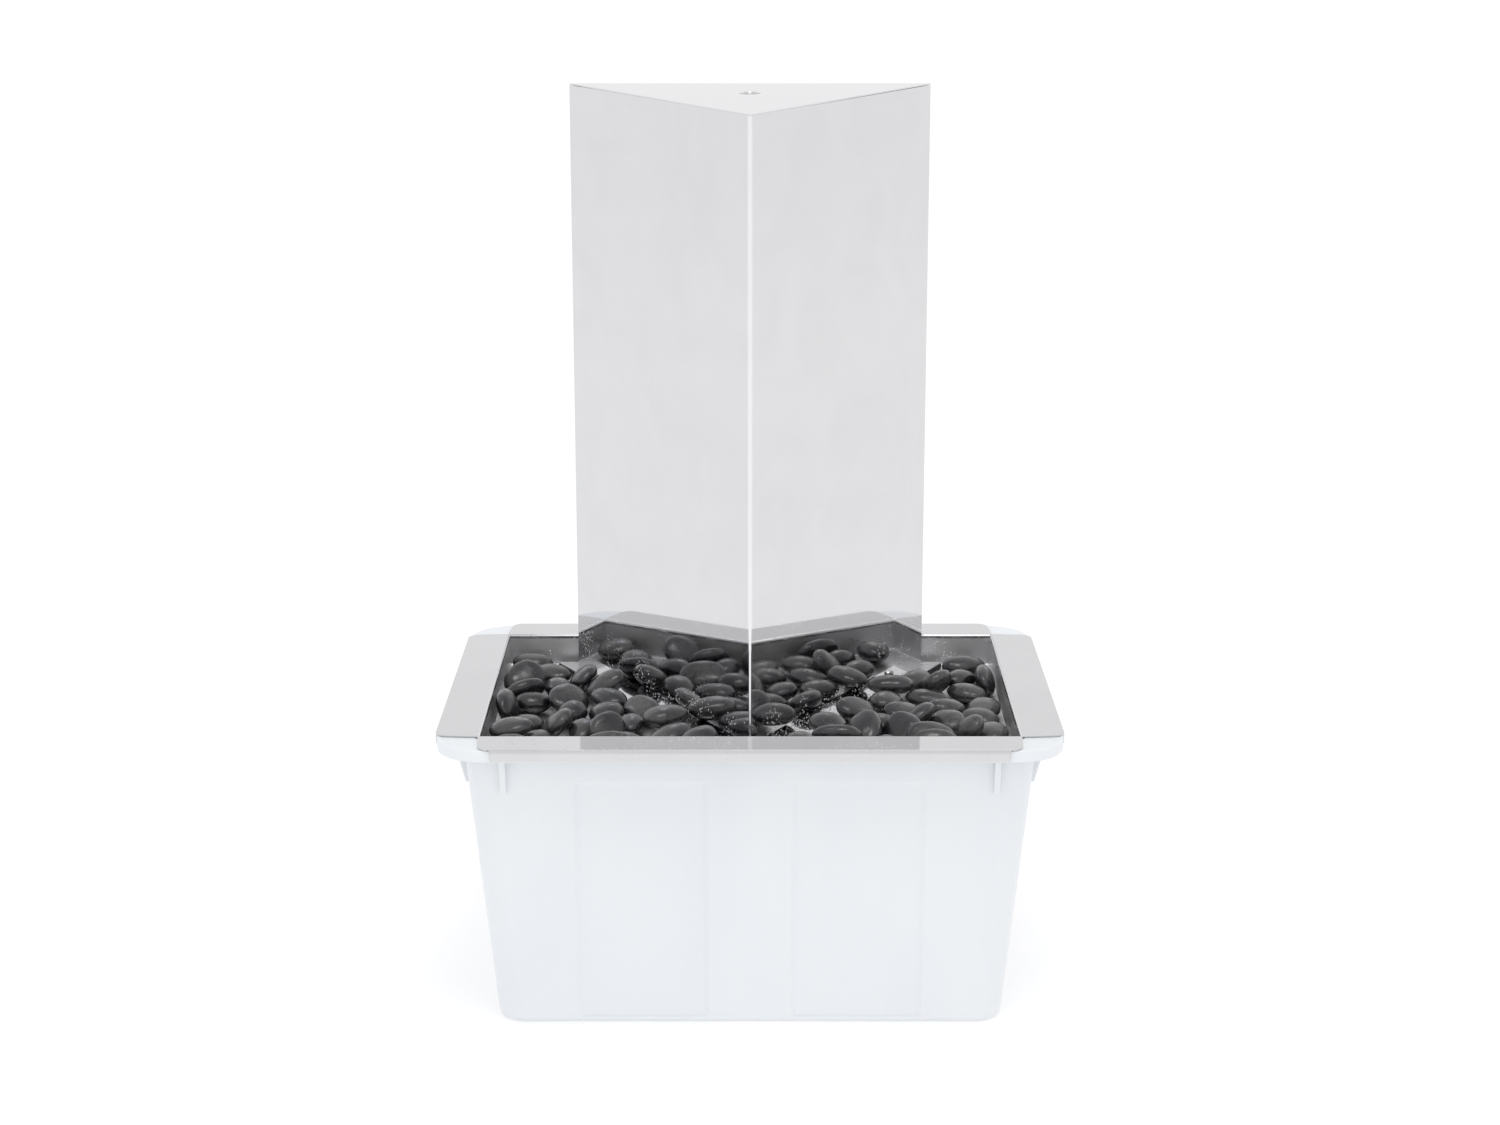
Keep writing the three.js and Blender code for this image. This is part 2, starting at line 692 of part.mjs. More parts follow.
function pumpSpigot() {
  const plug = bossTop - plugDepth;
  const flange = bossTop + seatGap;
  const top = flange + spigotFlange;
  return turned([
    [spigotBore, plug], [tailRadius, plug], [tailRadius, flange], [bossRadius, flange], [bossRadius, top],
    ...barbedTail(top, tailLength),
    [spigotBore, top + tailLength], [spigotBore, plug],
  ]);
}

// The chamber's front cover: a flange and a plug round the inlet, with three spokes that hold the bush.
function volutePlate() {
  const hub = bushRadius + seatGap + hubWall;
  const flange = [shaftFront - seatGap, chamberFront - seatGap];
  const plug = [chamberFront - 2 * seatGap, chamberFront + coverPlug];
  const through = [flange[0] - past, plug[1] + past];
  const inChamber = chamberRadius - chamberWall - seatGap;
  const disc = axleRod(chamberRadius, flange, chamberSides).add(axleRod(inChamber, plug, chamberSides));
  const half = spokeWidth / 2;
  const spoke = block([-half, half], [flange[0], plug[1]], [0, coverInlet + past]);
  const spokes = [0, 120, 240].map((turn) => spoke.rotate([0, turn, 0]).translate([0, 0, rotorHeight]));
  const rimRing = disc.subtract(axleRod(coverInlet, through));
  const wheel = join([rimRing, axleRod(hub, [flange[0], plug[1]]), ...spokes]);
  return wheel.subtract(axleRod(bushRadius + seatGap, through));
}

const shaftBore = (y) => axleRod(shaftRadius + seatGap, [y[0] - past, y[1] + past]);
const shaftBush = (y) => axleRod(bushRadius, y).subtract(shaftBore(y));

function impeller() {
  const blades = [chamberFront + coverPlug + bladeGap[0], chamberBack - bladeGap[1]];
  const half = bladeThickness / 2;
  const vane = block([-half, half], blades, [0, impellerRadius]);
  const vanes = Array.from({ length: bladeCount }, (_, i) => {
    return vane.rotate([0, (360 * i) / bladeCount, 0]).translate([0, 0, rotorHeight]);
  });
  const hub = axleRod(impellerHub, [blades[0], magnetFront - seatGap]);
  const backPlate = axleRod(impellerRadius - bladeThickness, [blades[1] - half, blades[1] + half]);
  return join([hub, backPlate, ...vanes]).subtract(shaftBore([blades[0], magnetFront]));
}

function rotorMagnet() {
  const ends = [magnetFront, magnetFront + magnetLength];
  return axleRod(magnetRadius, ends).subtract(shaftBore(ends));
}

// A cage over the chamber, open at the back, slotted at the sides and notched at the top for the outlet.
const strainerHalf = pumpHalfWidth;
const strainerZ = [pumpFloor + seatGap, rotorHeight + pumpHalfWidth];

function strainerCage() {
  const back = chamberBack - seatGap;
  const shell = block([-strainerHalf, strainerHalf], [strainerFront, back], strainerZ);
  const hollow = block(
    [-strainerHalf + strainerWall, strainerHalf - strainerWall],
    [strainerFront + strainerWall, back + past],
    [strainerZ[0] - past, strainerZ[1] - strainerWall],
  );
  const notchHalf = bossRadius + cageClearance;
  const notch = block([-notchHalf, notchHalf], [-notchHalf, back + past], [rotorHeight, strainerZ[1] + past]);
  const pitch = (chamberFront - strainerFront - strainerWall) / slotCount;
  const slots = Array.from({ length: slotCount }, (_, i) => {
    const y = strainerFront + strainerWall + pitch * (i + 0.5);
    return block(
      [-strainerHalf - past, strainerHalf + past],
      [y - slotWidth / 2, y + slotWidth / 2],
      [strainerZ[0] + slotEnds[0], strainerZ[1] - slotEnds[1]],
    );
  });
  const wall = [strainerFront - past, strainerFront + strainerWall + past];
  return cut(shell, [hollow, notch, ...slots, ...dialBores(wall), axleRod(dialStem + seatGap, wall)]);
}

// The holes that the strainer's front wall and the dial share.
function dialBores(y) {
  return Array.from({ length: dialHoles }, (_, i) => {
    const angle = ((i + 0.5) / dialHoles) * Math.PI * 2;
    const across = dialHoleCircle * Math.cos(angle);
    const up = dialHoleCircle * Math.sin(angle);
    return axleRod(dialHoleRadius, y, boreSides).translate([across, 0, up]);
  });
}

// A disc in front of the strainer with the same holes, a stem through the strainer and a snap head behind.
function flowDial() {
  const face = strainerFront - seatGap;
  const disc = axleRod(dialRadius, [face - dialThickness, face]);
  const [gripWidth, gripHeight] = dialGrip;
  const top = face - dialThickness - gripHeight;
  const gripHalf = dialRadius - gripWidth / 2;
  const grip = block([-gripWidth / 2, gripWidth / 2], [top, face - dialThickness / 2], [-gripHalf, gripHalf]);
  const behind = strainerFront + strainerWall + seatGap;
  const stem = axleRod(dialStem, [face - dialThickness / 2, behind + dialSnap[1] / 2]);
  const snap = axleRod(dialSnap[0], [behind, behind + dialSnap[1]]);
  const dial = join([disc, grip.translate([0, 0, rotorHeight]), stem, snap]);
  return cut(dial, dialBores([top - past, face + past]));
}

function suctionCup() {
  const neck = cupHeight - seatGap;
  const stemTop = cupHeight + baseThickness - seatGap;
  return turned([
    [0, 1.6], [cupRadius * 0.72, 0.9], [cupRadius - 0.6, 0], [cupRadius, 0], [cupRadius * 0.82, 2.4],
    [cupRadius * 0.42, 4], [cupRadius * 0.38, neck], [cupStem, neck], [cupStem, stemTop], [0, stemTop],
  ], boreSides);
}

function cableGland() {
  const [stem, root] = [glandStem[0] - seatGap, -glandStem[1]];
  return turned([
    [cableBore, root], [stem, root], [stem, seatGap], [glandRadius, seatGap],
    [stem, glandLength], [cableBore, glandLength], [cableBore, root],
  ], boreSides);
}

// ---------- Pebbles ----------
// The same numbers each time, from 0 to 1.
function seededRandom(seed) {
  let state = seed;
  return () => {
    state = (state * 1664525 + 1013904223) % 4294967296;
    return state / 4294967296;
  };
}

// Spreads the pebbles over the floor beside the column: each takes the best of several tries, the one
// that is furthest from the pebbles before it.
function pebblePlaces(random) {
  const reach = pebbleHalfLength[1] + 1;
  const tries = 60;
  const spots = [];
  while (spots.length < pebbleCount) {
    let best = null;
    for (let i = 0; i < tries; i++) {
      const x = (random() * 2 - 1) * (innerX - reach);
      const y = (random() * 2 - 1) * (innerY - reach);
      const offFace = (Math.abs(x) * faceOut.x) + ((y - apexY) * faceOut.y);
      if (offFace < reach) continue;
      const room = Math.min(...spots.map(([px, py]) => Math.hypot(px - x, py - y)), Infinity);
      if (!best || room > best[2]) best = [x, y, room];
    }
    if (best) spots.push(best);
  }
  return spots;
}

function pebbleShape(random) {
  const pick = ([low, high]) => low + random() * (high - low);
  const geometry = new THREE.IcosahedronGeometry(1, 1);
  const half = [pick(pebbleHalfLength), pick(pebbleHalfWidth), pick(pebbleHalfHeight)];
  const phase = random() * Math.PI * 2;
  const position = geometry.attributes.position;
  const point = new THREE.Vector3();
  for (let i = 0; i < position.count; i++) {
    point.fromBufferAttribute(position, i);
    const lump = 1 - 0.06 * (1 + Math.sin(2.4 * point.x + phase) * Math.cos(2 * point.y - phase));
    position.setXYZ(i, point.x * half[0] * lump, point.y * half[1] * lump, point.z * half[2] * lump);
  }
  geometry.rotateX((random() * 2 - 1) * pebbleTilt);
  geometry.rotateY((random() * 2 - 1) * pebbleTilt);
  geometry.rotateZ(random() * Math.PI);
  return geometry;
}

// Lowers a pebble from above the rim until it is seatGap away from what lies under it.
function lowered(pebble, ground) {
  const step = 0.05;
  let height = rimHeight + pebbleHalfLength[1];
  for (;;) {
    const room = pebble.translate([0, 0, height]).minGap(ground, trayDepth);
    if (room <= seatGap + step) return height;
    height -= room - seatGap;
  }
}

function pebbles(tray, shell) {
  const random = seededRandom(pebbleSeed);
  const laid = [];
  return pebblePlaces(random).map(([x, y], i) => {
    const geometry = pebbleShape(random);
    const body = solid(geometry).translate([x, y, 0]);
    const near = laid.filter((other) => Math.hypot(other.x - x, other.y - y) < 2 * pebbleHalfLength[1] + 1);
    const height = lowered(body, join([tray, shell, ...near.map((other) => other.body)]));
    laid.push({ x, y, body: body.translate([0, 0, height]) });
    const mesh = new THREE.Mesh(geometry, riverPebble);
    mesh.name = `pebble_${String(i + 1).padStart(2, "0")}`;
    mesh.position.set(x, y, height);
    return mesh;
  });
}

// ---------- Assembly ----------
function piece(name, made, material) {
  const mesh = new THREE.Mesh(made instanceof THREE.BufferGeometry ? made : geometryOf(made), material);
  mesh.name = name;
  return mesh;
}

function at(mesh, x, y, z) {
  mesh.position.set(x, y, z);
  return mesh;
}

const tray = trayPan();
const shell = columnShell();

const column = new THREE.Group();
column.add(
  piece("column_shell", shell, mirrorSteel),
  piece("column_back_panel", columnBackPanel(), mirrorSteel),
  piece("column_top_plate", columnTopPlate(), mirrorSteel),
  piece("foot_gasket_right", footGasketStrip(1), blackRubber),
  piece("foot_gasket_left", footGasketStrip(-1), blackRubber),
);

const waterLine = new THREE.Group();
waterLine.position.y = spoutY;
waterLine.add(
  piece("spout_pipe", spoutPipe(), brightSteel),
  piece("riser_hose", riserHose(), clearVinyl),
  at(piece("hose_clamp_spout", hoseClamp(), brightSteel), 0, 0, hoseTop - clampInset - clampWidth),
  at(piece("hose_clamp_pump", hoseClamp(), brightSteel), 0, 0, hoseFoot + clampInset),
  piece("floor_grommet", floorGrommet(), blackRubber),
);

const fixings = new THREE.Group();
screwSpots().forEach(([x, y], i) => {
  fixings.add(
    at(piece(`foot_screw_${i + 1}`, footScrew(), brightSteel), x, y, columnFoot + sheet + seatGap),
    at(piece(`foot_nut_${i + 1}`, footNut(), brightSteel), x, y, trayFloor - sheet - seatGap),
  );
});

const pump = new THREE.Group();
pump.position.y = spoutY;
pump.rotation.z = -Math.PI / 2;
pump.add(
  piece("pump_body", pumpBody(), pumpPlastic),
  piece("pump_spigot", pumpSpigot(), pumpPlastic),
  piece("pump_volute_cover", volutePlate(), pumpPlastic),
  piece("pump_shaft", axleRod(shaftRadius, [shaftFront, shaftBack], 24), shaftCeramic),
  piece("shaft_bush_front", shaftBush([shaftFront - seatGap, chamberFront + coverPlug]), blackRubber),
  piece("shaft_bush_rear", shaftBush([rearPocket + seatGap, rearPocket + bushLength]), blackRubber),
  piece("pump_impeller", impeller(), impellerPlastic),
  piece("rotor_magnet", rotorMagnet(), magnetFerrite),
  piece("pump_strainer", strainerCage(), pumpPlastic),
  piece("flow_dial", flowDial(), pumpPlastic),
);
const gland = at(piece("cable_gland", cableGland(), blackRubber), 0, motorBack, rotorHeight + glandRise);
gland.rotation.x = -Math.PI / 2;
pump.add(gland);
cupSpots.forEach(([x, y], i) => {
  pump.add(at(piece(`suction_cup_${i + 1}`, suctionCup(), blackRubber), x, y, tubFloor + seatGap));
});

const fountain = new THREE.Group();
fountain.add(
  piece("reservoir_tub", reservoirTub(), tubPlastic),
  pump,
  piece("tray_pan", tray, mirrorSteel),
  column,
  waterLine,
  fixings,
  ...pebbles(tray, shell),
);

export default fountain;
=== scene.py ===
# %% [markdown]
# # A waterfall fountain in polished steel
# The fountain is a white plastic tub of water with a bent steel tray on its rim, a bed of black river
# pebbles in the tray, and a tall three-sided column of mirror steel that the water runs down.
# The frame below is the engineering model. It fixes every size and every joint, and this lesson gives the
# same object its finished shapes and surfaces.

# %% Load the frame
import json
import math
import random
import bmesh
import bpy
from mathutils import Matrix, Vector


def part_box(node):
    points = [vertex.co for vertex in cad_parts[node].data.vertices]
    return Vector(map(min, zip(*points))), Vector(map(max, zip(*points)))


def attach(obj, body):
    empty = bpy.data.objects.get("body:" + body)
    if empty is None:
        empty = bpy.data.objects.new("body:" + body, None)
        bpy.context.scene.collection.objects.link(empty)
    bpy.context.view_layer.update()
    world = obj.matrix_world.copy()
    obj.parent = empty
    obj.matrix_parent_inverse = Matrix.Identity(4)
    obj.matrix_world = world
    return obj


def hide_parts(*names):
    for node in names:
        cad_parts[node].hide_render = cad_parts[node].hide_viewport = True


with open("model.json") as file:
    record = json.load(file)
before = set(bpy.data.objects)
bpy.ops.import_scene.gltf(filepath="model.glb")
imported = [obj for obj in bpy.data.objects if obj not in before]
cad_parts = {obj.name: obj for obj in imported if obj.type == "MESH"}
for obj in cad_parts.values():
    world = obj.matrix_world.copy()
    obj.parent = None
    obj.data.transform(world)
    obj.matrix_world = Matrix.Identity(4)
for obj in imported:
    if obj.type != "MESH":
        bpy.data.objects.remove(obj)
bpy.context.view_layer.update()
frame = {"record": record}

# %% [markdown]
# ## Sizes
# Thin sheet metal and moulded plastic look right when their bends, walls and gaps are the real ones, so
# the sizes that shape the pieces are written once here, in metres. Where a node of the frame already has
# the size, it is read from the node's box instead.

# %% Sizes
MM = 0.001
SHEET = 1 * MM
tub_high = Vector(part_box("reservoir_tub")[1])
tray_low, tray_high = [Vector(corner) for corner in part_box("tray_pan")]
plate_low, plate_high = [Vector(corner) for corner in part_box("column_top_plate")]
shell_low, shell_high = [Vector(corner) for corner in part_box("column_shell")]
RIM = tray_high.z
TRAY_FLOOR = tray_low.z + SHEET
FLANGE_X = 35 * MM
FLANGE_Y = 34 * MM
INNER_X = tray_high.x - FLANGE_X
INNER_Y = tray_high.y - FLANGE_Y
APEX_Y = plate_low.y
BACK_Y = shell_high.y
HALF_WIDTH = plate_high.x
opening = (2 * INNER_X, 2 * INNER_Y, RIM - TRAY_FLOOR)
print("tray opening and depth", [round(size, 3) for size in opening])

# %% [markdown]
# ## Camera
# The fountain stands on the floor and is seen from a little over two metres away and ninety centimetres up,
# with a long lens. That height shows the top plate almost edge-on and the pebble bed from above.

# %% Camera
eye = Vector((0, -2.129, 0.907))
downward = math.radians(14.915)
LENS_MM = 66.26
SENSOR_MM = 36
camera_data = bpy.data.cameras.new("view_camera")
camera_data.lens = LENS_MM
camera_data.sensor_width = SENSOR_MM
camera = bpy.data.objects.new("view_camera", camera_data)
camera.location = eye
camera.rotation_euler = (math.radians(90) - downward, 0, 0)
bpy.context.scene.collection.objects.link(camera)
bpy.context.scene.camera = camera
print("camera at", tuple(round(part, 3) for part in eye))

# %% [markdown]
# ## Light
# Polished steel has hardly any colour of its own: it shows the room. A product studio gives it a pale,
# even room, so the world is nearly white and a little dimmer overhead than below. Three soft lamps lift the
# floor and the tops of things: a white one above, and a cool and a warm one behind on either side.

# %% Light and floor
world = bpy.data.worlds.new("pale_room")
bpy.context.scene.world = world
world.use_nodes = True
room = world.node_tree
room.nodes.clear()
direction = room.nodes.new("ShaderNodeTexCoord")
height = room.nodes.new("ShaderNodeSeparateXYZ")
fade = room.nodes.new("ShaderNodeValToRGB")
fade.color_ramp.elements[0].position = 0.25
fade.color_ramp.elements[0].color = (1.08, 1.08, 1.09, 1)
fade.color_ramp.elements[1].position = 0.75
fade.color_ramp.elements[1].color = (0.92, 0.92, 0.93, 1)
glow = room.nodes.new("ShaderNodeBackground")
glow.inputs["Strength"].default_value = 1.0
world_out = room.nodes.new("ShaderNodeOutputWorld")
room.links.new(direction.outputs["Generated"], height.inputs["Vector"])
room.links.new(height.outputs["Z"], fade.inputs["Fac"])
room.links.new(fade.outputs["Color"], glow.inputs["Color"])
room.links.new(glow.outputs["Background"], world_out.inputs["Surface"])
bpy.context.scene.view_settings.view_transform = "Standard"


def soft_lamp(name, place, aim, width, power, color=(1, 1, 1)):
    """A round lamp, width across, turned towards the point aim."""
    data = bpy.data.lights.new(name, "AREA")
    data.shape = "DISK"
    data.size = width
    data.energy = power
    data.color = color
    lamp = bpy.data.objects.new(name, data)
    lamp.location = place
    lamp.rotation_euler = (Vector(aim) - Vector(place)).to_track_quat("-Z", "Y").to_euler()
    bpy.context.scene.collection.objects.link(lamp)
    return lamp


soft_lamp("overhead_lamp", (0.1, -1.0, 2.7), (0, 0, 0.3), 1.0, 13)
soft_lamp("cool_lamp", (-3.0, 1.6, 2.2), (-1.2, 0.8, 0), 0.8, 4, (0.82, 0.86, 1.0))
soft_lamp("warm_lamp", (3.0, 1.6, 2.2), (1.2, 0.8, 0), 0.8, 4, (1.0, 0.95, 0.86))
print("lamps", [lamp.name for lamp in bpy.data.lights])

# %% [markdown]
# ## Working by hand, in code
# An operator works on everything that is selected. These helpers deselect everything, add a primitive at
# its size and place, and pick faces, edges or points in edit mode by where they are.

# %% Helpers
def clear():
    if bpy.context.mode != "OBJECT":
        bpy.ops.object.mode_set(mode="OBJECT")
    bpy.ops.object.select_all(action="DESELECT")


def box(name, low, high):
    clear()
    low, high = Vector(low), Vector(high)
    bpy.ops.mesh.primitive_cube_add(size=1, location=(low + high) / 2)
    piece = bpy.context.object
    piece.scale = high - low
    bpy.ops.object.transform_apply(location=True, rotation=True, scale=True)
    piece.name = name
    return piece


def cylinder(name, radius, low, high, across):
    clear()
    middle = (low + high) / 2
    bpy.ops.mesh.primitive_cylinder_add(radius=radius, depth=high - low, vertices=32,
                                        location=(*across, middle))
    piece = bpy.context.object
    bpy.ops.object.transform_apply(location=True, rotation=True, scale=True)
    piece.name = name
    return piece


def edit(piece, mode="FACE"):
    clear()
    bpy.context.view_layer.objects.active = piece
    piece.select_set(True)
    bpy.ops.object.mode_set(mode="EDIT")
    bpy.ops.mesh.select_mode(type=mode)
    bpy.ops.mesh.select_all(action="DESELECT")


def pick(piece, test, kind="faces"):
    """Select in edit mode what passes the test: test(middle, normal) of a face, test(a, b) of an edge's
    ends, or test(place) of a point."""
    mesh = bmesh.from_edit_mesh(piece.data)
    for face in mesh.faces:
        face.select = False
    for edge in mesh.edges:
        edge.select = False
    for point in mesh.verts:
        point.select = False
    count = 0
    for item in getattr(mesh, kind):
        if kind == "faces":
            found = test(item.calc_center_median(), item.normal)
        elif kind == "edges":
            found = test(item.verts[0].co, item.verts[1].co)
        else:
            found = test(item.co)
        if found:
            item.select = True
            count += 1
    mesh.select_flush_mode()
    bmesh.update_edit_mesh(piece.data)
    return count


def finish_edit():
    bpy.ops.object.mode_set(mode="OBJECT")


def face_outward(piece):
    edit(piece)
    bpy.ops.mesh.select_all(action="SELECT")
    bpy.ops.mesh.normals_make_consistent(inside=False)
    finish_edit()


def flip(piece):
    edit(piece)
    bpy.ops.mesh.select_all(action="SELECT")
    bpy.ops.mesh.flip_normals()
    finish_edit()


def apply_modifier(piece, kind, **settings):
    clear()
    bpy.context.view_layer.objects.active = piece
    piece.select_set(True)
    modifier = piece.modifiers.new(kind.lower(), kind)
    for key, value in settings.items():
        setattr(modifier, key, value)
    bpy.ops.object.modifier_apply(modifier=modifier.name)


def smooth(piece, angle=35):
    clear()
    bpy.context.view_layer.objects.active = piece
    piece.select_set(True)
    bpy.ops.object.shade_smooth_by_angle(angle=math.radians(angle))


def keep_flats_flat(piece, angle=35):
    """Smooth shading bends the light on a flat face beside a bevel, which a mirror shows at once. Normals
    weighted by area keep the large faces flat and leave the bending to the bevels."""
    smooth(piece, angle)
    apply_modifier(piece, "WEIGHTED_NORMAL", weight=100, keep_sharp=True)


def join(pieces, name):
    clear()
    for piece in pieces:
        piece.select_set(True)
    bpy.context.view_layer.objects.active = pieces[0]
    bpy.ops.object.join()
    pieces[0].name = name
    return pieces[0]


def close_to(a, b, reach=0.05 * MM):
    return abs(a - b) < reach


def count_faces(piece):
    return len(piece.data.polygons)


# %% [markdown]
# ## Finishes
# Each finish is a small tree of nodes. Object coordinates are metres here, because every piece keeps its
# place in its mesh, so a noise scale of 500 makes marks about two millimetres apart.

# %% Node helpers
def new_finish(name, color, metallic=0.0, roughness=0.5):
    material = bpy.data.materials.new(name)
    material.use_nodes = True
    tree = material.node_tree
    surface = tree.nodes["Principled BSDF"]
    surface.inputs["Base Color"].default_value = (*color, 1)
    surface.inputs["Metallic"].default_value = metallic
    surface.inputs["Roughness"].default_value = roughness
    material.diffuse_color = (*color, 1)
    return material, tree, surface


def place_of(tree, stretch=(1, 1, 1), turn=(0, 0, 0)):
    coordinates = tree.nodes.new("ShaderNodeTexCoord")
    mapping = tree.nodes.new("ShaderNodeMapping")
    mapping.inputs["Scale"].default_value = stretch
    mapping.inputs["Rotation"].default_value = turn
    tree.links.new(coordinates.outputs["Object"], mapping.inputs["Vector"])
    return mapping.outputs["Vector"]


def noise(tree, vector, scale, detail=3.0, distortion=0.0):
    node = tree.nodes.new("ShaderNodeTexNoise")
    node.inputs["Scale"].default_value = scale
    node.inputs["Detail"].default_value = detail
    node.inputs["Distortion"].default_value = distortion
    tree.links.new(vector, node.inputs["Vector"])
    return node.outputs["Fac"]


def between(tree, value, low, high, start=0.0, end=1.0):
    node = tree.nodes.new("ShaderNodeMapRange")
    node.inputs["From Min"].default_value = start
    node.inputs["From Max"].default_value = end
    node.inputs["To Min"].default_value = low
    node.inputs["To Max"].default_value = high
    tree.links.new(value, node.inputs["Value"])
    return node.outputs["Result"]


def calculate(tree, operation, *values):
    node = tree.nodes.new("ShaderNodeMath")
    node.operation = operation
    for socket, value in zip(node.inputs, values):
        tree.links.new(value, socket)
    return node.outputs["Value"]


def split_place(tree):
    node = tree.nodes.new("ShaderNodeSeparateXYZ")
    tree.links.new(place_of(tree), node.inputs["Vector"])
    return node.outputs


def blend_colors(tree, value, stops):
    node = tree.nodes.new("ShaderNodeValToRGB")
    ramp = node.color_ramp
    while len(ramp.elements) < len(stops):
        ramp.elements.new(0.5)
    for element, (position, color) in zip(ramp.elements, stops):
        element.position = position
        element.color = (*color, 1)
    tree.links.new(value, node.inputs["Fac"])
    return node.outputs["Color"]


def add_bump(tree, surface, layers):
    """Each layer is a height, its depth in metres and its strength, and each one starts from the last."""
    normal = None
    for value, distance, strength in layers:
        node = tree.nodes.new("ShaderNodeBump")
        node.inputs["Distance"].default_value = distance
        node.inputs["Strength"].default_value = strength
        tree.links.new(value, node.inputs["Height"])
        if normal is not None:
            tree.links.new(normal, node.inputs["Normal"])
        normal = node.outputs["Normal"]
    tree.links.new(normal, surface.inputs["Normal"])


# %% [markdown]
# Splashed water stands in beads. The distance to the middle of a Voronoi cell makes a dome in each cell,
# and a mask keeps the domes only where the steel or the stone is wet.

# %% Water beads
def beads(tree, spacing, mask):
    cells = tree.nodes.new("ShaderNodeTexVoronoi")
    cells.inputs["Scale"].default_value = 1 / spacing
    tree.links.new(place_of(tree), cells.inputs["Vector"])
    dome = between(tree, cells.outputs["Distance"], 1.0, 0.0, 0.0, 0.3)
    return calculate(tree, "MULTIPLY", dome, mask)


# %% [markdown]
# ### Mirror steel
# Stainless sheet is rolled, polished and wrapped in film until it is sold. It reflects about three
# quarters of the light. What gives it away as real metal is small: the rolling grain, which streaks the
# gloss along the sheet, wipe marks, and a sheet that is never perfectly flat.

# %% Mirror steel
STEEL_TINT = (0.695, 0.695, 0.703)
SHEET_WAVE = 0.02
FOLD_CORE = 0.8 * MM
FOLD_EDGE = 2.2 * MM
SCUFF_AND_LIGHT_FULL = RIM - 4 * MM
SCUFF_AND_LIGHT_NONE = RIM - 2 * MM
SPLASH_FULL = RIM - 5 * MM
SPLASH_NONE = RIM + 30 * MM
STEEL_BEAD = 2.6 * MM


def mirror_steel(name, stretch, tint=STEEL_TINT, fold_painted_highlight=1.0, grazing=1.0, scuffs=0.0, pan_painted_light=1.0):
    """Mirror sheet. The fold's factor scales the colour up along the fold at x = 0, a painted highlight,
    grazing dulls what is seen at a flat angle, and scuffs roughen the steel below the tray's rim, where
    stones and hands rub it. The pan's factor paints that steel paler, a painted brightening for light it
    picks up from above."""
    material, tree, surface = new_finish(name, tint, metallic=1.0)
    surface.inputs["Specular Tint"].default_value = (grazing, grazing, grazing, 1)
    here = split_place(tree)
    grain = noise(tree, place_of(tree, stretch), 900, detail=2)
    wipe = noise(tree, place_of(tree, (1, 1, 1), (0.3, 0.5, 0.2)), 14, detail=4, distortion=1.2)
    soft = noise(tree, place_of(tree), 5, detail=1)

    gloss = between(tree, calculate(tree, "MULTIPLY", grain, wipe), 0.015, 0.09, 0.12, 0.5)
    rubbed = between(tree, here["Z"], scuffs, 0.0, SCUFF_AND_LIGHT_FULL, SCUFF_AND_LIGHT_NONE)
    tree.links.new(calculate(tree, "ADD", gloss, rubbed), surface.inputs["Roughness"])

    # A painted highlight: the steel's colour is scaled brighter along the fold at x = 0.
    fold_highlight_paint = between(tree, calculate(tree, "ABSOLUTE", here["X"]), fold_painted_highlight, 1.0, FOLD_CORE, FOLD_EDGE)
    # A painted brightening: below the tray's rim the colour is made paler, for the light the rougher pan
    # steel picks up from above.
    pan_painted_brightening = between(tree, here["Z"], pan_painted_light, 1.0, SCUFF_AND_LIGHT_FULL, SCUFF_AND_LIGHT_NONE)
    shade = [(0.35, tuple(0.975 * part for part in tint)), (0.65, tint)]
    shine = tree.nodes.new("ShaderNodeVectorMath")
    shine.operation = "SCALE"
    tree.links.new(blend_colors(tree, wipe, shade), shine.inputs[0])
    tree.links.new(calculate(tree, "MULTIPLY", fold_highlight_paint, pan_painted_brightening), shine.inputs["Scale"])
    tree.links.new(shine.outputs["Vector"], surface.inputs["Base Color"])

    low = between(tree, here["Z"], 1.0, 0.0, SPLASH_FULL, SPLASH_NONE)
    patchy = between(tree, noise(tree, place_of(tree), 30, detail=2), 0.0, 1.0, 0.5, 0.56)
    drops = beads(tree, STEEL_BEAD, calculate(tree, "MULTIPLY", low, patchy))
    add_bump(tree, surface, [(soft, 0.6 * MM, SHEET_WAVE), (grain, 0.01 * MM, 0.12), (drops, 0.5 * MM, 0.7)])
    return material


UPRIGHT_GRAIN = (1, 1, 0.02)
LEVEL_GRAIN = (0.02, 1, 1)
# The column's colour is painted 22 percent brighter along its fold, a painted highlight.
COLUMN_STEEL = mirror_steel("column_steel", UPRIGHT_GRAIN, fold_painted_highlight=1.22)
BACK_STEEL = mirror_steel("back_steel", UPRIGHT_GRAIN)
PLATE_STEEL = mirror_steel("plate_steel", LEVEL_GRAIN, grazing=0.86)
# Below its rim the tray's steel is rougher from scuffs, and its colour is painted 22 percent paler as a
# painted brightening.
TRAY_STEEL = mirror_steel("tray_steel", LEVEL_GRAIN, tint=(0.575, 0.575, 0.58), scuffs=0.4, pan_painted_light=1.22)
print("mirror finishes", [material.name for material in (COLUMN_STEEL, BACK_STEEL, PLATE_STEEL, TRAY_STEEL)])


# %% [markdown]
# ### Fittings steel
# Screws, clamps and the spout are bright but not mirrored. Their turning and stamping marks are fine
# rings and streaks.

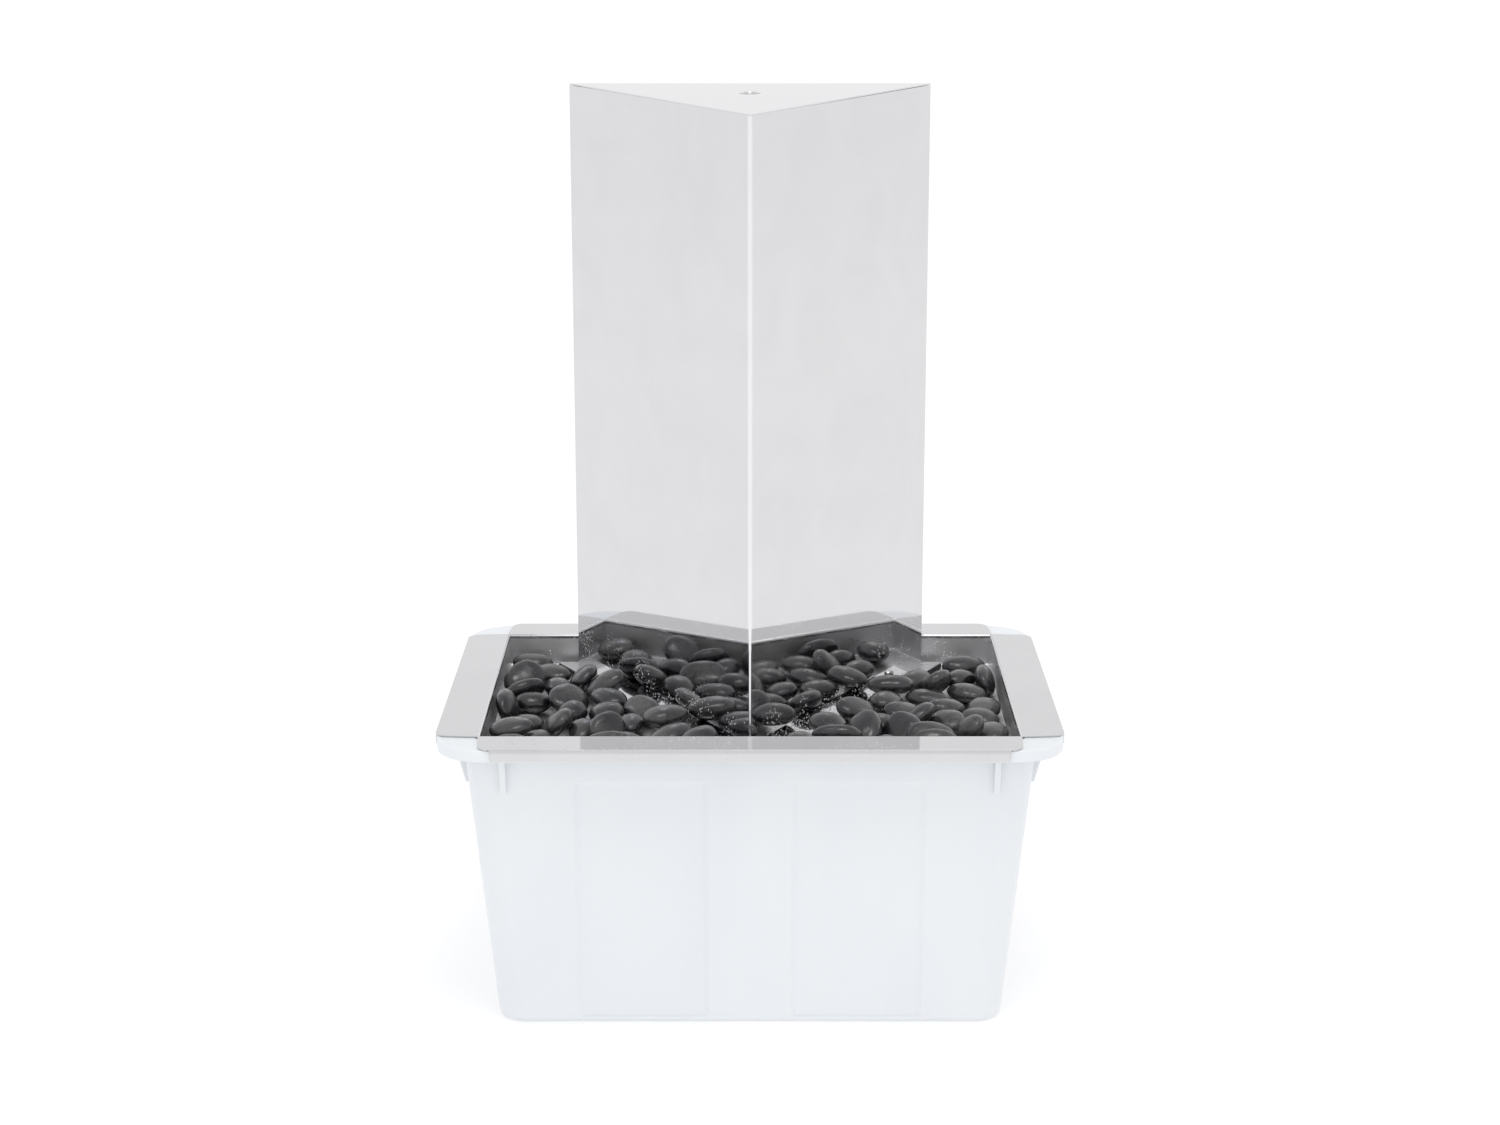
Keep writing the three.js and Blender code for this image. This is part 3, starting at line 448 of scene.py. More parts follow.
# %% Fittings steel
def fittings_steel():
    material, tree, surface = new_finish("fittings_steel", (0.62, 0.62, 0.61), metallic=1.0)
    streak = noise(tree, place_of(tree, (1, 1, 6)), 1500, detail=3)
    patch = noise(tree, place_of(tree), 120, detail=3)
    tree.links.new(between(tree, streak, 0.16, 0.34), surface.inputs["Roughness"])
    shade = [(0.3, (0.5, 0.5, 0.49)), (0.7, (0.68, 0.68, 0.67))]
    tree.links.new(blend_colors(tree, patch, shade), surface.inputs["Base Color"])
    add_bump(tree, surface, [(streak, 0.03 * MM, 0.3)])
    return material


FITTINGS_STEEL = fittings_steel()


# %% [markdown]
# ### Tub plastic
# The tub is injection-moulded polypropylene: white with a touch of blue, satin rather than glossy, with
# faint flow clouds, a fine spark-eroded grain, and rub marks where tubs were stacked.

# %% Tub plastic
def tub_plastic():
    material, tree, surface = new_finish("tub_plastic", (0.78, 0.805, 0.825))
    cloud = noise(tree, place_of(tree, (1, 1, 0.4)), 9, detail=4, distortion=0.6)
    grain = noise(tree, place_of(tree), 2600, detail=2)
    rub = noise(tree, place_of(tree, (1, 1, 0.06)), 260, detail=2)
    shade = [(0.3, (0.76, 0.785, 0.81)), (0.7, (0.795, 0.818, 0.835))]
    tree.links.new(blend_colors(tree, cloud, shade), surface.inputs["Base Color"])
    tree.links.new(between(tree, rub, 0.3, 0.46, 0.3, 0.75), surface.inputs["Roughness"])
    surface.inputs["Specular IOR Level"].default_value = 0.45
    add_bump(tree, surface, [(cloud, 0.5 * MM, 0.08), (grain, 0.02 * MM, 0.25)])
    return material


TUB_PLASTIC = tub_plastic()


# %% [markdown]
# ### Pump plastic, impeller plastic, rubber, ferrite, ceramic and vinyl
# The pieces under the tray are moulded, ground or extruded, and each has its own small marks: spark
# grain on the pump, swirls on the impeller, bloom on the rubber, pores in the ferrite, and a milky haze
# in the hose.

# %% Finishes under the tray
def moulded(name, dark, light, roughness, scale=1800, depth=0.03 * MM):
    """Clouds between a dark and a light tone and between two values of roughness, with a fine grain."""
    material, tree, surface = new_finish(name, dark)
    grain = noise(tree, place_of(tree), scale, detail=2)
    cloud = noise(tree, place_of(tree), 60, detail=3, distortion=0.5)
    tree.links.new(blend_colors(tree, cloud, [(0.3, dark), (0.75, light)]), surface.inputs["Base Color"])
    tree.links.new(between(tree, cloud, roughness[0], roughness[1]), surface.inputs["Roughness"])
    add_bump(tree, surface, [(grain, depth, 0.4)])
    return material


PUMP_PLASTIC = moulded("pump_plastic", (0.010, 0.011, 0.012), (0.022, 0.023, 0.026), (0.38, 0.55))
IMPELLER_PLASTIC = moulded("impeller_plastic", (0.76, 0.76, 0.71), (0.84, 0.84, 0.8), (0.35, 0.5))
BLACK_RUBBER = moulded("black_rubber", (0.009, 0.009, 0.009), (0.028, 0.027, 0.026), (0.6, 0.82),
                       900, 0.05 * MM)
ROTOR_FERRITE = moulded("rotor_ferrite", (0.03, 0.027, 0.025), (0.06, 0.055, 0.05), (0.4, 0.7),
                        1400, 0.05 * MM)
SHAFT_CERAMIC = moulded("shaft_ceramic", (0.82, 0.8, 0.75), (0.9, 0.88, 0.84), (0.12, 0.22),
                        3000, 0.005 * MM)
HOSE_VINYL = moulded("hose_vinyl", (0.62, 0.68, 0.65), (0.74, 0.79, 0.76), (0.12, 0.28), 700, 0.02 * MM)
vinyl = HOSE_VINYL.node_tree.nodes["Principled BSDF"]
vinyl.inputs["Transmission Weight"].default_value = 0.55
vinyl.inputs["IOR"].default_value = 1.5


# %% [markdown]
# ### Wet river pebbles
# River pebbles are worn smooth but not polished. Wet, they go nearly black and shine in patches where
# the film of water lies thick. Raised veins, paler specks, fine pits and a difference of tone from stone to
# stone keep them from looking like plastic.

# %% Pebble stone
STONE_BEAD = 3.6 * MM


def pebble_stone():
    material, tree, surface = new_finish("pebble_stone", (0.03, 0.031, 0.034))
    here = place_of(tree)
    stone = noise(tree, here, 24, detail=0)
    mottle = noise(tree, here, 210, detail=6, distortion=0.4)
    pit = noise(tree, here, 1300, detail=4)
    vein = noise(tree, place_of(tree, (1, 3.5, 1.6), (0.4, 0.2, 0.9)), 70, detail=5, distortion=2.0)
    tone = blend_colors(tree, stone, [(0.36, (0.012, 0.012, 0.014)), (0.5, (0.026, 0.026, 0.029)),
                                      (0.64, (0.045, 0.044, 0.043))])
    speck = blend_colors(tree, mottle, [(0.42, (0.7, 0.7, 0.7)), (0.6, (1.15, 1.15, 1.17)),
                                        (0.78, (1.9, 1.88, 1.8))])
    mixed = tree.nodes.new("ShaderNodeMix")
    mixed.data_type = "RGBA"
    mixed.blend_type = "MULTIPLY"
    mixed.inputs["Factor"].default_value = 1.0
    tree.links.new(tone, mixed.inputs["A"])
    tree.links.new(speck, mixed.inputs["B"])
    tree.links.new(mixed.outputs["Result"], surface.inputs["Base Color"])
    tree.links.new(between(tree, mottle, 0.22, 0.5, 0.35, 0.7), surface.inputs["Roughness"])
    surface.inputs["Coat Weight"].default_value = 0.35
    surface.inputs["Coat Roughness"].default_value = 0.12
    splashed = between(tree, noise(tree, place_of(tree), 16, detail=2), 0.0, 1.0, 0.5, 0.58)
    drops = beads(tree, STONE_BEAD, splashed)
    add_bump(tree, surface, [(vein, 0.5 * MM, 0.25), (pit, 0.12 * MM, 0.35), (drops, 0.6 * MM, 0.6)])
    return material


PEBBLE_STONE = pebble_stone()

# %% [markdown]
# The nodes of the frame that keep their shape take these finishes by their slot. A node's own material
# slots are filled in, and its mesh is left alone.

# %% Give every node a finish
FINISHES = {
    "tub_plastic": TUB_PLASTIC, "mirror_steel": BACK_STEEL, "bright_steel": FITTINGS_STEEL,
    "pump_plastic": PUMP_PLASTIC, "impeller_plastic": IMPELLER_PLASTIC, "magnet_ferrite": ROTOR_FERRITE,
    "shaft_ceramic": SHAFT_CERAMIC, "black_rubber": BLACK_RUBBER, "clear_vinyl": HOSE_VINYL,
    "river_pebble": PEBBLE_STONE,
}
slot_of = {part["node"]: part["material_slot"] for part in frame["record"]["subparts"]}
for node, slot_name in slot_of.items():
    node_object = bpy.data.objects[node]
    node_object.data.materials.clear()
    node_object.data.materials.append(FINISHES[slot_name])
print("finishes on", len(slot_of), "nodes")

# %% [markdown]
# Some finished pieces start as a copy of a node. A node's mesh is loose triangles, so the copy's corners are
# joined before its edges can be worked on. Each finished piece then rides the body it belongs to, takes its
# finish, and replaces the node it stands for.

# %% Copy a node, and give a piece its place in the model
def merged_copy(node, name):
    clear()
    source = bpy.data.objects[node]
    piece = source.copy()
    piece.data = source.data.copy()
    piece.name = name
    bpy.context.scene.collection.objects.link(piece)
    edit(piece)
    bpy.ops.mesh.select_all(action="SELECT")
    bpy.ops.mesh.remove_doubles(threshold=0.005 * MM)
    finish_edit()
    return piece


def place(piece, body, finish, slot_name, *nodes):
    piece.data.materials.clear()
    piece.data.materials.append(finish)
    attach(piece, body)
    if nodes:
        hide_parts(*nodes)
    print(piece.name, "rides", body, "with", count_faces(piece), "faces")
    return piece


# %% [markdown]
# ## The floor
# The floor is a wide pale sheet that runs far behind the fountain, with a slight mottle like studio
# paper. It is part of the stage and not of the object.

# %% Floor
def studio_paper():
    material, tree, surface = new_finish("studio_paper", (0.93, 0.93, 0.94), roughness=0.6)
    fibre = noise(tree, place_of(tree), 3, detail=3)
    shade = [(0.3, (0.5, 0.5, 0.505)), (0.7, (0.52, 0.52, 0.525))]
    tree.links.new(blend_colors(tree, fibre, shade), surface.inputs["Base Color"])
    surface.inputs["Emission Color"].default_value = (1, 1, 1, 1)
    surface.inputs["Emission Strength"].default_value = 0.47
    return material


clear()
bpy.ops.mesh.primitive_plane_add(size=60, location=(0, 0, 0))
floor = bpy.context.object
floor.name = "studio_floor"
bpy.ops.object.transform_apply(location=True, rotation=True, scale=True)
floor.data.materials.append(studio_paper())

# %% [markdown]
# ## The tub
# A moulded tub has one wall thickness everywhere, so its shape is one skin with an inside and an
# outside. It starts as a slab the size of the rim. The slab's underside is inset and pushed up to leave a
# skirt, inset again and pulled down for the walls, and its top is inset and pushed down for the hollow.
# Inset keeps its distance from an edge, so the rounded corners stay round on the way in.

# %% Tub: rim, skirt, walls and hollow
SKIRT = 9.5 * MM
SKIRT_WALL = 2.5 * MM
RIM_PLATE = 2.7 * MM
RIM_CORNER = 38 * MM
OVERHANG = 19 * MM
TUB_WALL = 3 * MM
TUB_LEAN = 22 * MM
WALL_CORNER = 24 * MM
MOUTH_CORNER = 29 * MM
tub_half = Vector((tub_high.x, tub_high.y))


def round_corners(piece, half, z, now, wanted):
    """Scaling a corner's arc about the sharp corner that it replaces changes the arc's radius. An inset arc
    of straight pieces ends a little farther from that corner than its radius, so the reach is longer."""
    reach = now + 2 * MM
    for x in (-1, 1):
        for y in (-1, 1):
            tip = Vector((x * half.x, y * half.y))
            pick(piece, lambda point: (close_to(point.z, z) and -0.1 * MM < half.x - x * point.x < reach
                                       and -0.1 * MM < half.y - y * point.y < reach), "verts")
            bpy.ops.transform.resize(value=(wanted / now, wanted / now, 1), center_override=(tip.x, tip.y, z))


def level_faces(z, facing):
    return lambda middle, normal: close_to(middle.z, z) and normal.z * facing > 0.9


def lean_in(piece, faces_test, start_half, lean):
    pick(piece, faces_test)
    shrink = ((start_half.x - lean) / start_half.x, (start_half.y - lean) / start_half.y, 1)
    bpy.ops.transform.resize(value=shrink, center_override=(0, 0, 0))


def within(half, z, facing):
    return lambda middle, normal: (close_to(middle.z, z) and normal.z * facing > 0.9
                                   and abs(middle.x) < half.x * 0.3 and abs(middle.y) < half.y * 0.3)


tub = box("tub", (-tub_half.x, -tub_half.y, tub_high.z - SKIRT), (tub_half.x, tub_half.y, tub_high.z))
edit(tub, "EDGE")
pick(tub, lambda a, b: close_to(a.x, b.x) and close_to(a.y, b.y), "edges")
bpy.ops.mesh.bevel(offset=RIM_CORNER, segments=10, offset_type="OFFSET")
bpy.ops.mesh.select_mode(type="FACE")

pick(tub, level_faces(tub_high.z - SKIRT, -1))
bpy.ops.mesh.inset(thickness=SKIRT_WALL)
bpy.ops.mesh.extrude_region_move(TRANSFORM_OT_translate={"value": (0, 0, SKIRT - RIM_PLATE)})
bpy.ops.mesh.inset(thickness=OVERHANG - SKIRT_WALL)
outer_half = tub_half - Vector((OVERHANG, OVERHANG))
round_corners(tub, outer_half, tub_high.z - RIM_PLATE, RIM_CORNER - OVERHANG, WALL_CORNER)
pick(tub, within(tub_half, tub_high.z - RIM_PLATE, -1))
bpy.ops.mesh.extrude_region_move(TRANSFORM_OT_translate={"value": (0, 0, -(tub_high.z - RIM_PLATE))})
lean_in(tub, within(tub_half, 0, -1), outer_half, TUB_LEAN)

pick(tub, level_faces(tub_high.z, 1))
bpy.ops.mesh.inset(thickness=OVERHANG + TUB_WALL)
inner_half = outer_half - Vector((TUB_WALL, TUB_WALL))
round_corners(tub, inner_half, tub_high.z, RIM_CORNER - OVERHANG - TUB_WALL, MOUTH_CORNER)
pick(tub, within(tub_half, tub_high.z, 1))
bpy.ops.mesh.extrude_region_move(TRANSFORM_OT_translate={"value": (0, 0, -(tub_high.z - TUB_WALL))})
lean_in(tub, within(tub_half, TUB_WALL, 1), inner_half, TUB_LEAN)
finish_edit()
print("tub skin", count_faces(tub), "faces, box", [round(size, 4) for size in tub.dimensions])

# %% [markdown]
# The walls have sunk panels that stiffen them. A wall's flat face is cut by planes at the panel's edges,
# and the piece in the middle is inset with a depth, which gives the panel its sloping sides. The same
# panel is pushed into the hollow from inside, so the wall keeps its thickness.

# %% Tub: sunk panels
PANEL_TOP = tub_high.z - SKIRT - 23 * MM
PANEL_DEPTH = 2.6 * MM
PANEL_SLOPE = 4 * MM
LONG_PANEL = (32 * MM, 134.5 * MM)
SHORT_PANEL = 78 * MM


def wall_faces(axis, side, outside):
    """The flat faces of one wall: axis 0 is X and 1 is Y, side is +1 or -1."""
    edge = (outer_half if outside else inner_half)[axis]

    def test(middle, normal):
        reach = edge - TUB_LEAN * (1 - middle.z / tub_high.z)
        facing = normal[axis] * side * (1 if outside else -1)
        on_wall = abs(middle[axis] * side - reach) < 2 * MM
        return facing > 0.9 and on_wall and middle.z < tub_high.z - RIM_PLATE / 2
    return test


def cut_wall(piece, test, plane_point, plane_normal):
    pick(piece, test)
    bpy.ops.mesh.bisect(plane_co=plane_point, plane_no=plane_normal)


def sink_panel(piece, axis, side, low, high, outside):
    across = 1 - axis
    normal = (1, 0, 0) if across == 0 else (0, 1, 0)
    for edge in (low, high):
        point = (edge, 0, 0) if across == 0 else (0, edge, 0)
        cut_wall(piece, wall_faces(axis, side, outside), point, normal)
    cut_wall(piece, wall_faces(axis, side, outside), (0, 0, PANEL_TOP), (0, 0, 1))
    wall = wall_faces(axis, side, outside)
    pick(piece, lambda middle, face: (wall(middle, face) and low < middle[across] < high
                                      and middle.z < PANEL_TOP))
    bpy.ops.mesh.inset(thickness=PANEL_SLOPE, depth=-PANEL_DEPTH if outside else PANEL_DEPTH)


edit(tub)
for outside in (True, False):
    for side in (-1, 1):
        sink_panel(tub, 1, side, LONG_PANEL[0], LONG_PANEL[1], outside)
        sink_panel(tub, 1, side, -LONG_PANEL[1], -LONG_PANEL[0], outside)
        sink_panel(tub, 0, side, -SHORT_PANEL, SHORT_PANEL, outside)
finish_edit()
print("tub with panels", count_faces(tub), "faces")

# %% [markdown]
# Under the rim stand short ribs that keep it from folding. One rib is a box whose outer face is pulled
# in at the bottom, and it is copied to eight places.

# %% Tub: ribs
RIB_WIDTH = 5 * MM
RIB_HEIGHT = 32 * MM
RIB_REACH = 9 * MM
RIB_INSET = 32 * MM
RIB_FOOT = 3 * MM


def rib(axis, side, end):
    """A rib on the wall that faces side along the axis, near that wall's far or near end."""
    top = tub_high.z - SKIRT / 2
    low = tub_high.z - SKIRT - RIB_HEIGHT
    wall = outer_half[axis] - TUB_LEAN * (1 - low / tub_high.z)
    along = end * (outer_half[1 - axis] - RIB_INSET)
    lows = [0, 0, low]
    highs = [0, 0, top]
    lows[axis], highs[axis] = sorted((side * (wall - 1 * MM), side * (outer_half[axis] + RIB_REACH)))
    lows[1 - axis], highs[1 - axis] = along - RIB_WIDTH / 2, along + RIB_WIDTH / 2
    piece = box("rib", lows, highs)
    edit(piece, "VERT")
    pick(piece, lambda point: close_to(point.z, low) and point[axis] * side > wall + 1 * MM, "verts")
    move = [0, 0, 0]
    move[axis] = -side * (outer_half[axis] + RIB_REACH - wall - RIB_FOOT)
    bpy.ops.transform.translate(value=move)
    finish_edit()
    return piece


ribs = [rib(axis, side, end) for axis in (0, 1) for side in (-1, 1) for end in (-1, 1)]
tub = join([tub] + ribs, "tub")
print("tub with", len(ribs), "ribs")

# %% [markdown]
# A mould has no sharp edges. A Bevel modifier rounds every edge that turns by more than 25 degrees, and
# the long bottom edge gets a larger round first.

# %% Tub: soft edges
BOTTOM_ROUND = 5 * MM
MOULD_ROUND = 0.9 * MM
edit(tub, "EDGE")
pick(tub, lambda a, b: a.z < 0.1 * MM and b.z < 0.1 * MM, "edges")
bpy.ops.mesh.bevel(offset=BOTTOM_ROUND, segments=4, clamp_overlap=True)
finish_edit()
apply_modifier(tub, "BEVEL", width=MOULD_ROUND, segments=3, limit_method="ANGLE",
               angle_limit=math.radians(25))
keep_flats_flat(tub, 50)
place(tub, "reservoir", TUB_PLASTIC, "tub_plastic", "reservoir_tub")

# %% [markdown]
# ## The tray
# The tray is one sheet of steel, bent on a press brake. A sheet is modelled as a surface without
# thickness first: a floor, four walls pulled up from its edges, a flange pulled out from each wall, and a
# lip pulled down from each flange. Each flange is pulled out by itself, so the corners stay open, as the
# flat sheet's corners are notched before bending. The bends are bevelled to their radius, and Solidify
# gives the surface its one millimetre.

# %% Tray: floor, walls, flanges and lips
LIP_DROP = 9.5 * MM
FLANGE_CORNER = 10 * MM
BEND = 1.8 * MM
LONG_EDGE = 50 * MM


def over_the_pan(point):
    return close_to(point.z, RIM) and abs(point.x) < INNER_X + 1 * MM and abs(point.y) < INNER_Y + 1 * MM


clear()
bpy.ops.mesh.primitive_plane_add(size=2, location=(0, 0, TRAY_FLOOR))
tray = bpy.context.object
tray.name = "tray"
tray.scale = (INNER_X, INNER_Y, 1)
bpy.ops.object.transform_apply(location=True, rotation=True, scale=True)

edit(tray, "EDGE")
pick(tray, lambda a, b: True, "edges")
bpy.ops.mesh.extrude_edges_move(TRANSFORM_OT_translate={"value": (0, 0, RIM - TRAY_FLOOR)})

for axis, side in ((0, -1), (0, 1), (1, -1), (1, 1)):
    inner = (INNER_X, INNER_Y)[axis] * side
    width = (FLANGE_X, FLANGE_Y)[axis] * side
    out = (width, 0, 0) if axis == 0 else (0, width, 0)
    pick(tray, lambda a, b: (over_the_pan(a) and over_the_pan(b)
                             and close_to(a[axis], inner) and close_to(b[axis], inner)), "edges")
    bpy.ops.mesh.extrude_edges_move(TRANSFORM_OT_translate={"value": out})

bpy.ops.mesh.select_mode(type="VERT")
pick(tray, lambda point: abs(point.x) > INNER_X + 1 * MM or abs(point.y) > INNER_Y + 1 * MM, "verts")
bpy.ops.mesh.bevel(offset=FLANGE_CORNER, segments=6, affect="VERTICES", clamp_overlap=False)

bpy.ops.mesh.select_mode(type="EDGE")
for axis, side in ((0, -1), (0, 1), (1, -1), (1, 1)):
    outer = (INNER_X + FLANGE_X, INNER_Y + FLANGE_Y)[axis] * side
    pick(tray, lambda a, b: close_to(a[axis], outer) and close_to(b[axis], outer) and close_to(a.z, RIM)
         and close_to(b.z, RIM) and (a - b).length > LONG_EDGE, "edges")
    bpy.ops.mesh.extrude_edges_move(TRANSFORM_OT_translate={"value": (0, 0, -LIP_DROP)})
finish_edit()
print("tray sheet", count_faces(tray), "faces, box", [round(size, 4) for size in tray.dimensions])

# %% [markdown]
# A bend is an edge of the sheet longer than the corners' short ones, at the floor or at the rim. After the
# bevel the sheet's normals must point up from the floor, because Solidify grows away from them.

# %% Tray: bends and thickness
def is_bend(a, b):
    if (a - b).length < LONG_EDGE:
        return False
    floor_edge = close_to(a.z, TRAY_FLOOR) and close_to(b.z, TRAY_FLOOR)
    rim_edge = close_to(a.z, RIM) and close_to(b.z, RIM)
    return floor_edge or rim_edge


edit(tray, "EDGE")
picked = pick(tray, is_bend, "edges")
bpy.ops.mesh.bevel(offset=BEND, segments=4, clamp_overlap=False)
finish_edit()
face_outward(tray)
floor_up = [face.normal.z for face in tray.data.polygons if close_to(face.center.z, TRAY_FLOOR)][0]
if floor_up < 0:
    flip(tray)
print("bends", picked)
apply_modifier(tray, "SOLIDIFY", thickness=SHEET, offset=-1, use_even_offset=True)

# %% [markdown]
# Water has to run back into the tub, so the floor has ten drain holes: three along each end wall and four
# along the front one. The punches are cylinders through the floor, joined and taken away in one Boolean.

# %% Tray: drain holes and soft edges
DRAIN_RADIUS = 4 * MM
DRAIN_INSET = 14 * MM
drain_x = INNER_X - DRAIN_INSET
drain_y = INNER_Y - DRAIN_INSET
drains = [(side * drain_x, row * drain_y * 2 / 3) for side in (-1, 1) for row in (-1, 0, 1)]
drains += [(side * drain_x * share / 3, -drain_y) for side in (-1, 1) for share in (1, 2)]
PUNCH_REACH = 5 * MM
punches = [cylinder("punch", DRAIN_RADIUS, TRAY_FLOOR - PUNCH_REACH, TRAY_FLOOR + PUNCH_REACH, spot)
           for spot in drains]
punch = join(punches, "punch")
apply_modifier(tray, "BOOLEAN", operation="DIFFERENCE", solver="EXACT", object=punch)
bpy.data.objects.remove(punch)
print("drain holes", len(drains), "and", count_faces(tray), "faces")
apply_modifier(tray, "BEVEL", width=0.2 * MM, segments=2, limit_method="ANGLE", angle_limit=math.radians(50))
keep_flats_flat(tray, 40)
place(tray, "tray", TRAY_STEEL, "mirror_steel", "tray_pan")

# %% [markdown]
# ## The column
# The column's front is one more bent sheet: two tall faces that meet in a fold, a flange turned in along
# each back edge, and a foot turned out along each bottom edge. Half of it is drawn and mirrored. Its fold
# is bevelled with a tight radius, which catches a bright line down the middle, and the steel's colour is
# painted brighter along the fold, a painted highlight.

# %% Column: the folded front
FOOT = 14 * MM
RETURN = 14 * MM
FOOT_CUT = 12 * MM
FOLD_RADIUS = 2.2 * MM
FOOT_Z = shell_low.z + SHEET
face_along = Vector((HALF_WIDTH, BACK_Y - APEX_Y, 0)).normalized()
face_out = Vector((face_along.y, -face_along.x, 0))

clear()
bpy.ops.mesh.primitive_plane_add(size=1, location=(0, 0, 0))
column = bpy.context.object
column.name = "column_front"
corners = [Vector((0, APEX_Y, FOOT_Z)), Vector((HALF_WIDTH, BACK_Y, FOOT_Z)),
           Vector((HALF_WIDTH, BACK_Y, shell_high.z)), Vector((0, APEX_Y, shell_high.z))]
order = column.data.polygons[0].vertices
for index, corner in zip(order, corners):
    column.data.vertices[index].co = corner

edit(column, "EDGE")
pick(column, lambda a, b: close_to(a.x, HALF_WIDTH) and close_to(b.x, HALF_WIDTH), "edges")
bpy.ops.mesh.extrude_edges_move(TRANSFORM_OT_translate={"value": (-RETURN, 0, 0)})
pick(column, lambda a, b: close_to(a.z, FOOT_Z) and close_to(b.z, FOOT_Z) and (a - b).length > LONG_EDGE,
     "edges")
bpy.ops.mesh.extrude_edges_move(TRANSFORM_OT_translate={"value": face_out * (FOOT + SHEET)})
bpy.ops.mesh.select_mode(type="VERT")
foot_outer = Vector((HALF_WIDTH, BACK_Y, 0)) + face_out * (FOOT + SHEET)
pick(column, lambda point: (point.xy - foot_outer.xy).length < 1 * MM and close_to(point.z, FOOT_Z),
     "verts")
bpy.ops.transform.translate(value=face_along * ((BACK_Y - foot_outer.y) / face_along.y))
front_corner = Vector((0, APEX_Y, 0)) + face_out * (FOOT + SHEET)
pick(column, lambda point: (point.xy - front_corner.xy).length < 1 * MM and close_to(point.z, FOOT_Z),
     "verts")
bpy.ops.transform.translate(value=face_along * FOOT_CUT)
finish_edit()
apply_modifier(column, "MIRROR", use_axis=(True, False, False), use_clip=True, merge_threshold=0.01 * MM)
edit(column, "EDGE")
pick(column, lambda a, b: close_to(a.x, 0) and close_to(b.x, 0), "edges")
bpy.ops.mesh.bevel(offset=FOLD_RADIUS, segments=6, clamp_overlap=False)
finish_edit()
print("column sheet", count_faces(column), "faces")

# %% [markdown]
# The column's sheet gets its thickness in the same way, grown inwards from the outside faces, so its outside
# stays where it was drawn.

# %% Column: thickness and soft edges
SHEARED_EDGE = 0.3 * MM
edit(column)
bpy.ops.mesh.select_all(action="SELECT")
bpy.ops.mesh.remove_doubles(threshold=0.01 * MM)
finish_edit()
face_outward(column)
tall = max(column.data.polygons, key=lambda face: face.area)
outward = face_out if tall.center.x > 0 else Vector((-face_out.x, face_out.y, 0))
if tall.normal.dot(outward) < 0:
    flip(column)
apply_modifier(column, "SOLIDIFY", thickness=SHEET, offset=-1, use_even_offset=True)
apply_modifier(column, "BEVEL", width=SHEARED_EDGE, segments=2, limit_method="ANGLE",
               angle_limit=math.radians(40))
keep_flats_flat(column, 30)
place(column, "tray", COLUMN_STEEL, "mirror_steel", "column_shell")

# %% [markdown]
# ## The pebbles
# The bed is deeper than one layer, and no stone is a plain ball. Each of the frame's stones is copied here,
# and once the whole bed lies still it is made finer and takes the place of its node.

# %% Stones of the frame
pebble_nodes = sorted(node for node in slot_of if node.startswith("pebble_"))
LUMPS = bpy.data.textures.new("stone_lumps", "CLOUDS")
LUMPS.noise_scale = 0.03
DENTS = bpy.data.textures.new("stone_dents", "CLOUDS")
DENTS.noise_scale = 0.009
bed = [merged_copy(node, node.replace("pebble", "stone")) for node in pebble_nodes]
print(len(bed), "stones from the frame, of", count_faces(bed[0]), "faces each")

# %% [markdown]
# ## The rest of the bed
# A tray takes about sixty stones. The frame's two dozen lie apart from each other, and the others fill
# the gaps and lie on top of them. Placed by hand they would float or sink into each other, so they are
# dropped: a rigid-body simulation lets each one find its own rest. The order and the start places come from
# a seeded generator, so every run gives the same bed. The stones fall as coarse shapes, which is quick, and
# are made fine afterwards.

# %% Loose stones: shapes
draw = random.Random(7)
COARSE = 2
LUMP_DEPTH = 5 * MM


def loose_stone(name, half, spot):
    """A subdivided cube is nearly a ball. It is moved about in the lump texture, so no two stones match."""
    clear()
    bpy.ops.mesh.primitive_cube_add(size=2.3)
    stone = bpy.context.object
    stone.name = name
    apply_modifier(stone, "SUBSURF", levels=COARSE)
    edit(stone)
    bpy.ops.mesh.select_all(action="SELECT")
    bpy.ops.transform.resize(value=half, center_override=(0, 0, 0))
    bpy.ops.transform.translate(value=spot)
    finish_edit()
    apply_modifier(stone, "DISPLACE", texture=LUMPS, texture_coords="LOCAL", strength=LUMP_DEPTH,
                   mid_level=0.5)
    edit(stone)
    bpy.ops.mesh.select_all(action="SELECT")
    bpy.ops.transform.translate(value=tuple(-part for part in spot))
    finish_edit()
    return stone


def over_free_floor(x, y, margin):
    """Whether a place in the tray is clear of the walls and in front of the column by the margin."""
    if abs(x) > INNER_X - margin or abs(y) > INNER_Y - margin:
        return False
    beside = abs(x) * face_out.x + (y - APEX_Y) * face_out.y
    return beside > margin


# %% [markdown]
# The stones start in layers above the free floor, in places that the generator draws, and no two of one
# layer start closer than a stone's length.

